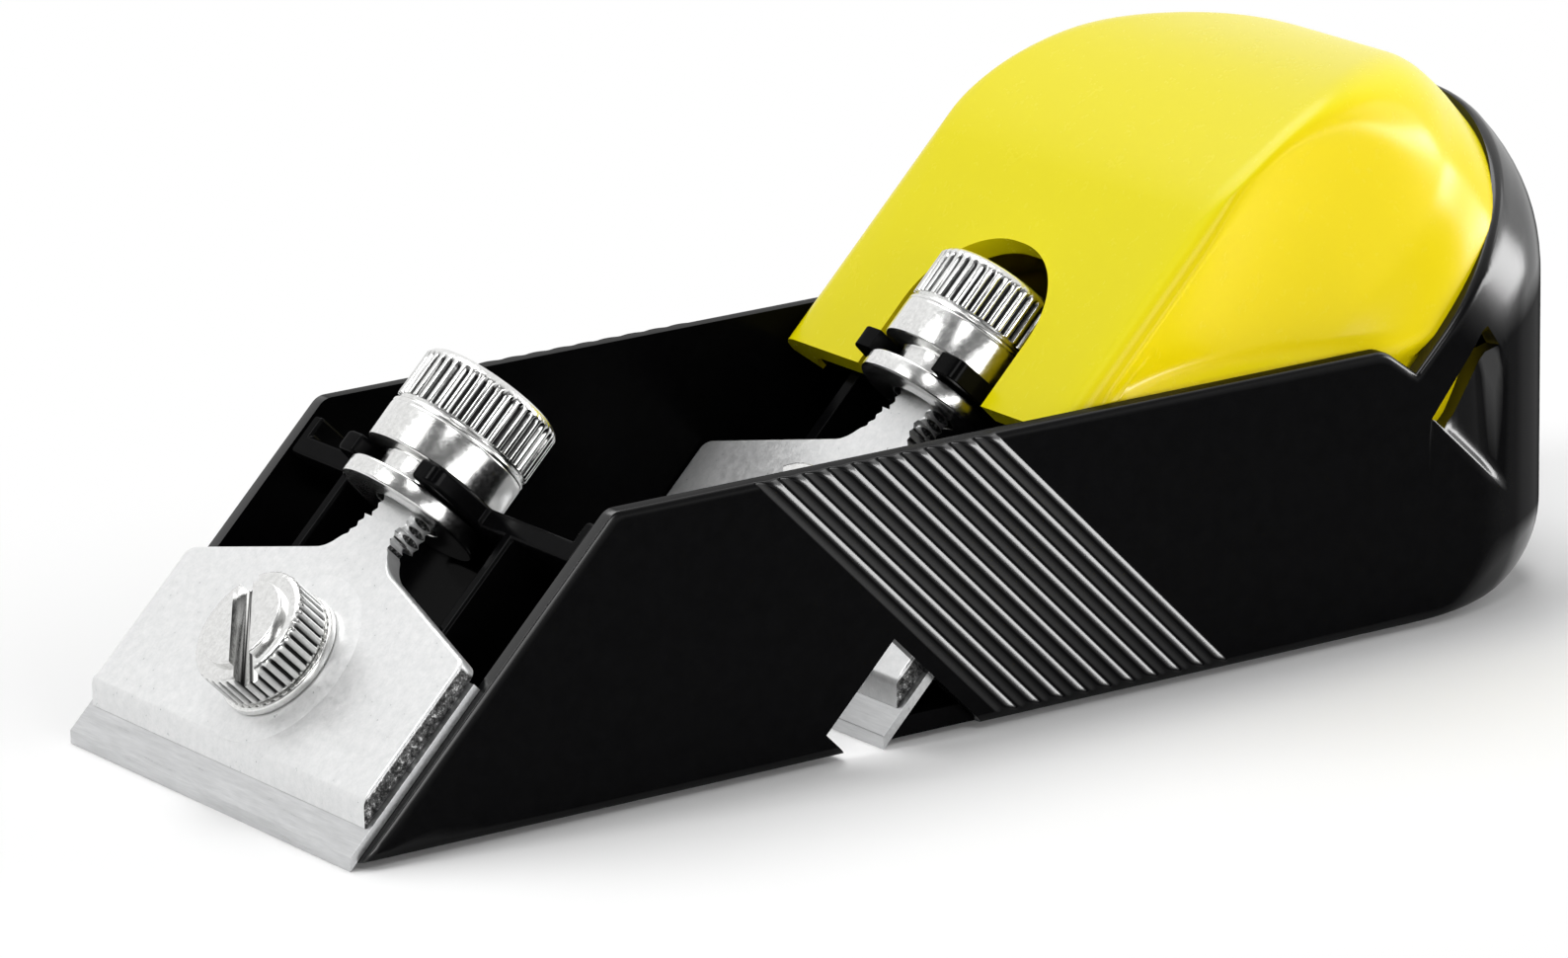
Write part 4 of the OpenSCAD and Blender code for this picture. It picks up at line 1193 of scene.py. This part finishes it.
# %% Floor, world and lamps
floor_level = cad_box[0].z - 0.02 * millimetre
floor_share_along = 0.45
camera_side = 0.57, 0.82, 0
lamps_aim = 0, 0, 0.02


def seen_directly(tree):
    """Output that is 1 for rays from the camera, from a mirror or through glass, and else 0."""
    path = add_node(tree, "ShaderNodeLightPath").outputs
    seen = worked_out(tree, "MAXIMUM", path["Is Camera Ray"], path["Is Glossy Ray"])
    return worked_out(tree, "MAXIMUM", seen, path["Is Transmission Ray"])


def by_ray(tree, hidden, seen):
    """Value between what only lights the object and what is seen, each a number or an output."""
    mix = add_node(tree, "ShaderNodeMix", data_type="FLOAT")
    for place, value in ((0, seen_directly(tree)), (2, hidden), (3, seen)):
        wire(tree, value, mix.inputs[place])
    return mix.outputs[0]


def pale_ground(name, hidden, seen, near, far):
    """Floor that keeps the object's soft shadow, and where seen fades to plain white between
    two distances from the object in metres, counted shorter along it than across it."""
    material = bpy.data.materials.new(name)
    material.use_nodes = True
    tree = material.node_tree
    shader = tree.nodes["Principled BSDF"]
    place = add_node(tree, "ShaderNodeTexCoord").outputs["Object"]
    shortened = worked_out(tree, "MULTIPLY", place, (floor_share_along, 1, 1), kind="ShaderNodeVectorMath")
    distance = worked_out(tree, "LENGTH", shortened, kind="ShaderNodeVectorMath")
    fade = remapped(tree, distance, near, far)
    lit = remapped(tree, fade, 0.0, 1.0, seen, 0.0, "LINEAR")
    tree.links.new(by_ray(tree, hidden, lit), shader.inputs["Base Color"])
    tree.links.new(by_ray(tree, 0.0, fade), shader.inputs["Emission Strength"])
    shader.inputs["Emission Color"].default_value = (1, 1, 1, 1)
    shader.inputs["Roughness"].default_value = 0.9
    shader.inputs["Specular IOR Level"].default_value = 0.0
    return material


floor_size = 3.0
floor_mesh = bpy.data.meshes.new("studio_floor")
square = (-1, -1), (1, -1), (1, 1), (-1, 1)
floor_corners = [(a * floor_size, b * floor_size, floor_level) for a, b in square]
floor_mesh.from_pydata(floor_corners, [], [(0, 1, 2, 3)])
floor_mesh.materials.append(pale_ground("pale_ground", 0.88, 1.0, 0.055, 0.12))
floor = new_object("studio_floor", floor_mesh)

world = bpy.data.worlds.new("studio_world")
bpy.context.scene.world = world
world.use_nodes = True
tree = world.node_tree
background = tree.nodes["Background"]
background.inputs["Color"].default_value = (1, 1, 1, 1)
direction = add_node(tree, "ShaderNodeTexCoord").outputs["Generated"]
towards_camera = worked_out(tree, "DOT_PRODUCT", direction, camera_side, kind="ShaderNodeVectorMath")
room = remapped(tree, towards_camera, -0.2, 0.6, 1.0, 0.15)
tree.links.new(by_ray(tree, 0.2, room), background.inputs["Strength"])


def soft_light(name, direction, distance, width, height, level):
    """Area lamp that faces the object from a direction. It alone would show a surface that
    faces it at this share of the surface's written colour: level = power / (pi*distance)**2."""
    away = np.array(direction, float) / np.linalg.norm(direction)
    lamp = bpy.data.lights.new(name, "AREA")
    lamp.shape, lamp.size, lamp.size_y = "RECTANGLE", width, height
    lamp.energy = level * (math.pi * distance) ** 2
    side = np.cross([0, 0, 1], away)
    side /= np.linalg.norm(side)
    rise = np.cross(away, side)
    new_object(name, lamp).matrix_world = axes_at((side, rise, away), away * distance + lamps_aim)


soft_light("overhead_softbox", (-0.1, -0.35, 0.93), 0.8, 0.6, 0.62, 0.62)
soft_light("near_lamp", (0.1, 0.98, 0.13), 0.9, 0.6, 0.3, 0.33)
soft_light("front_lamp", (0.35, 0.55, 0.75), 0.8, 0.2, 0.2, 0.10)
soft_light("toe_lamp", (0.72, -0.1, 0.70), 0.8, 0.25, 0.25, 0.24)
soft_light("heel_panel", (-0.9, 0.43, 0.09), 0.8, 0.45, 0.12, 0.42)
soft_light("heel_softbox", (-0.85, 0.3, 0.38), 0.8, 0.4, 0.35, 0.12)
bpy.context.scene.view_settings.view_transform = "Standard"
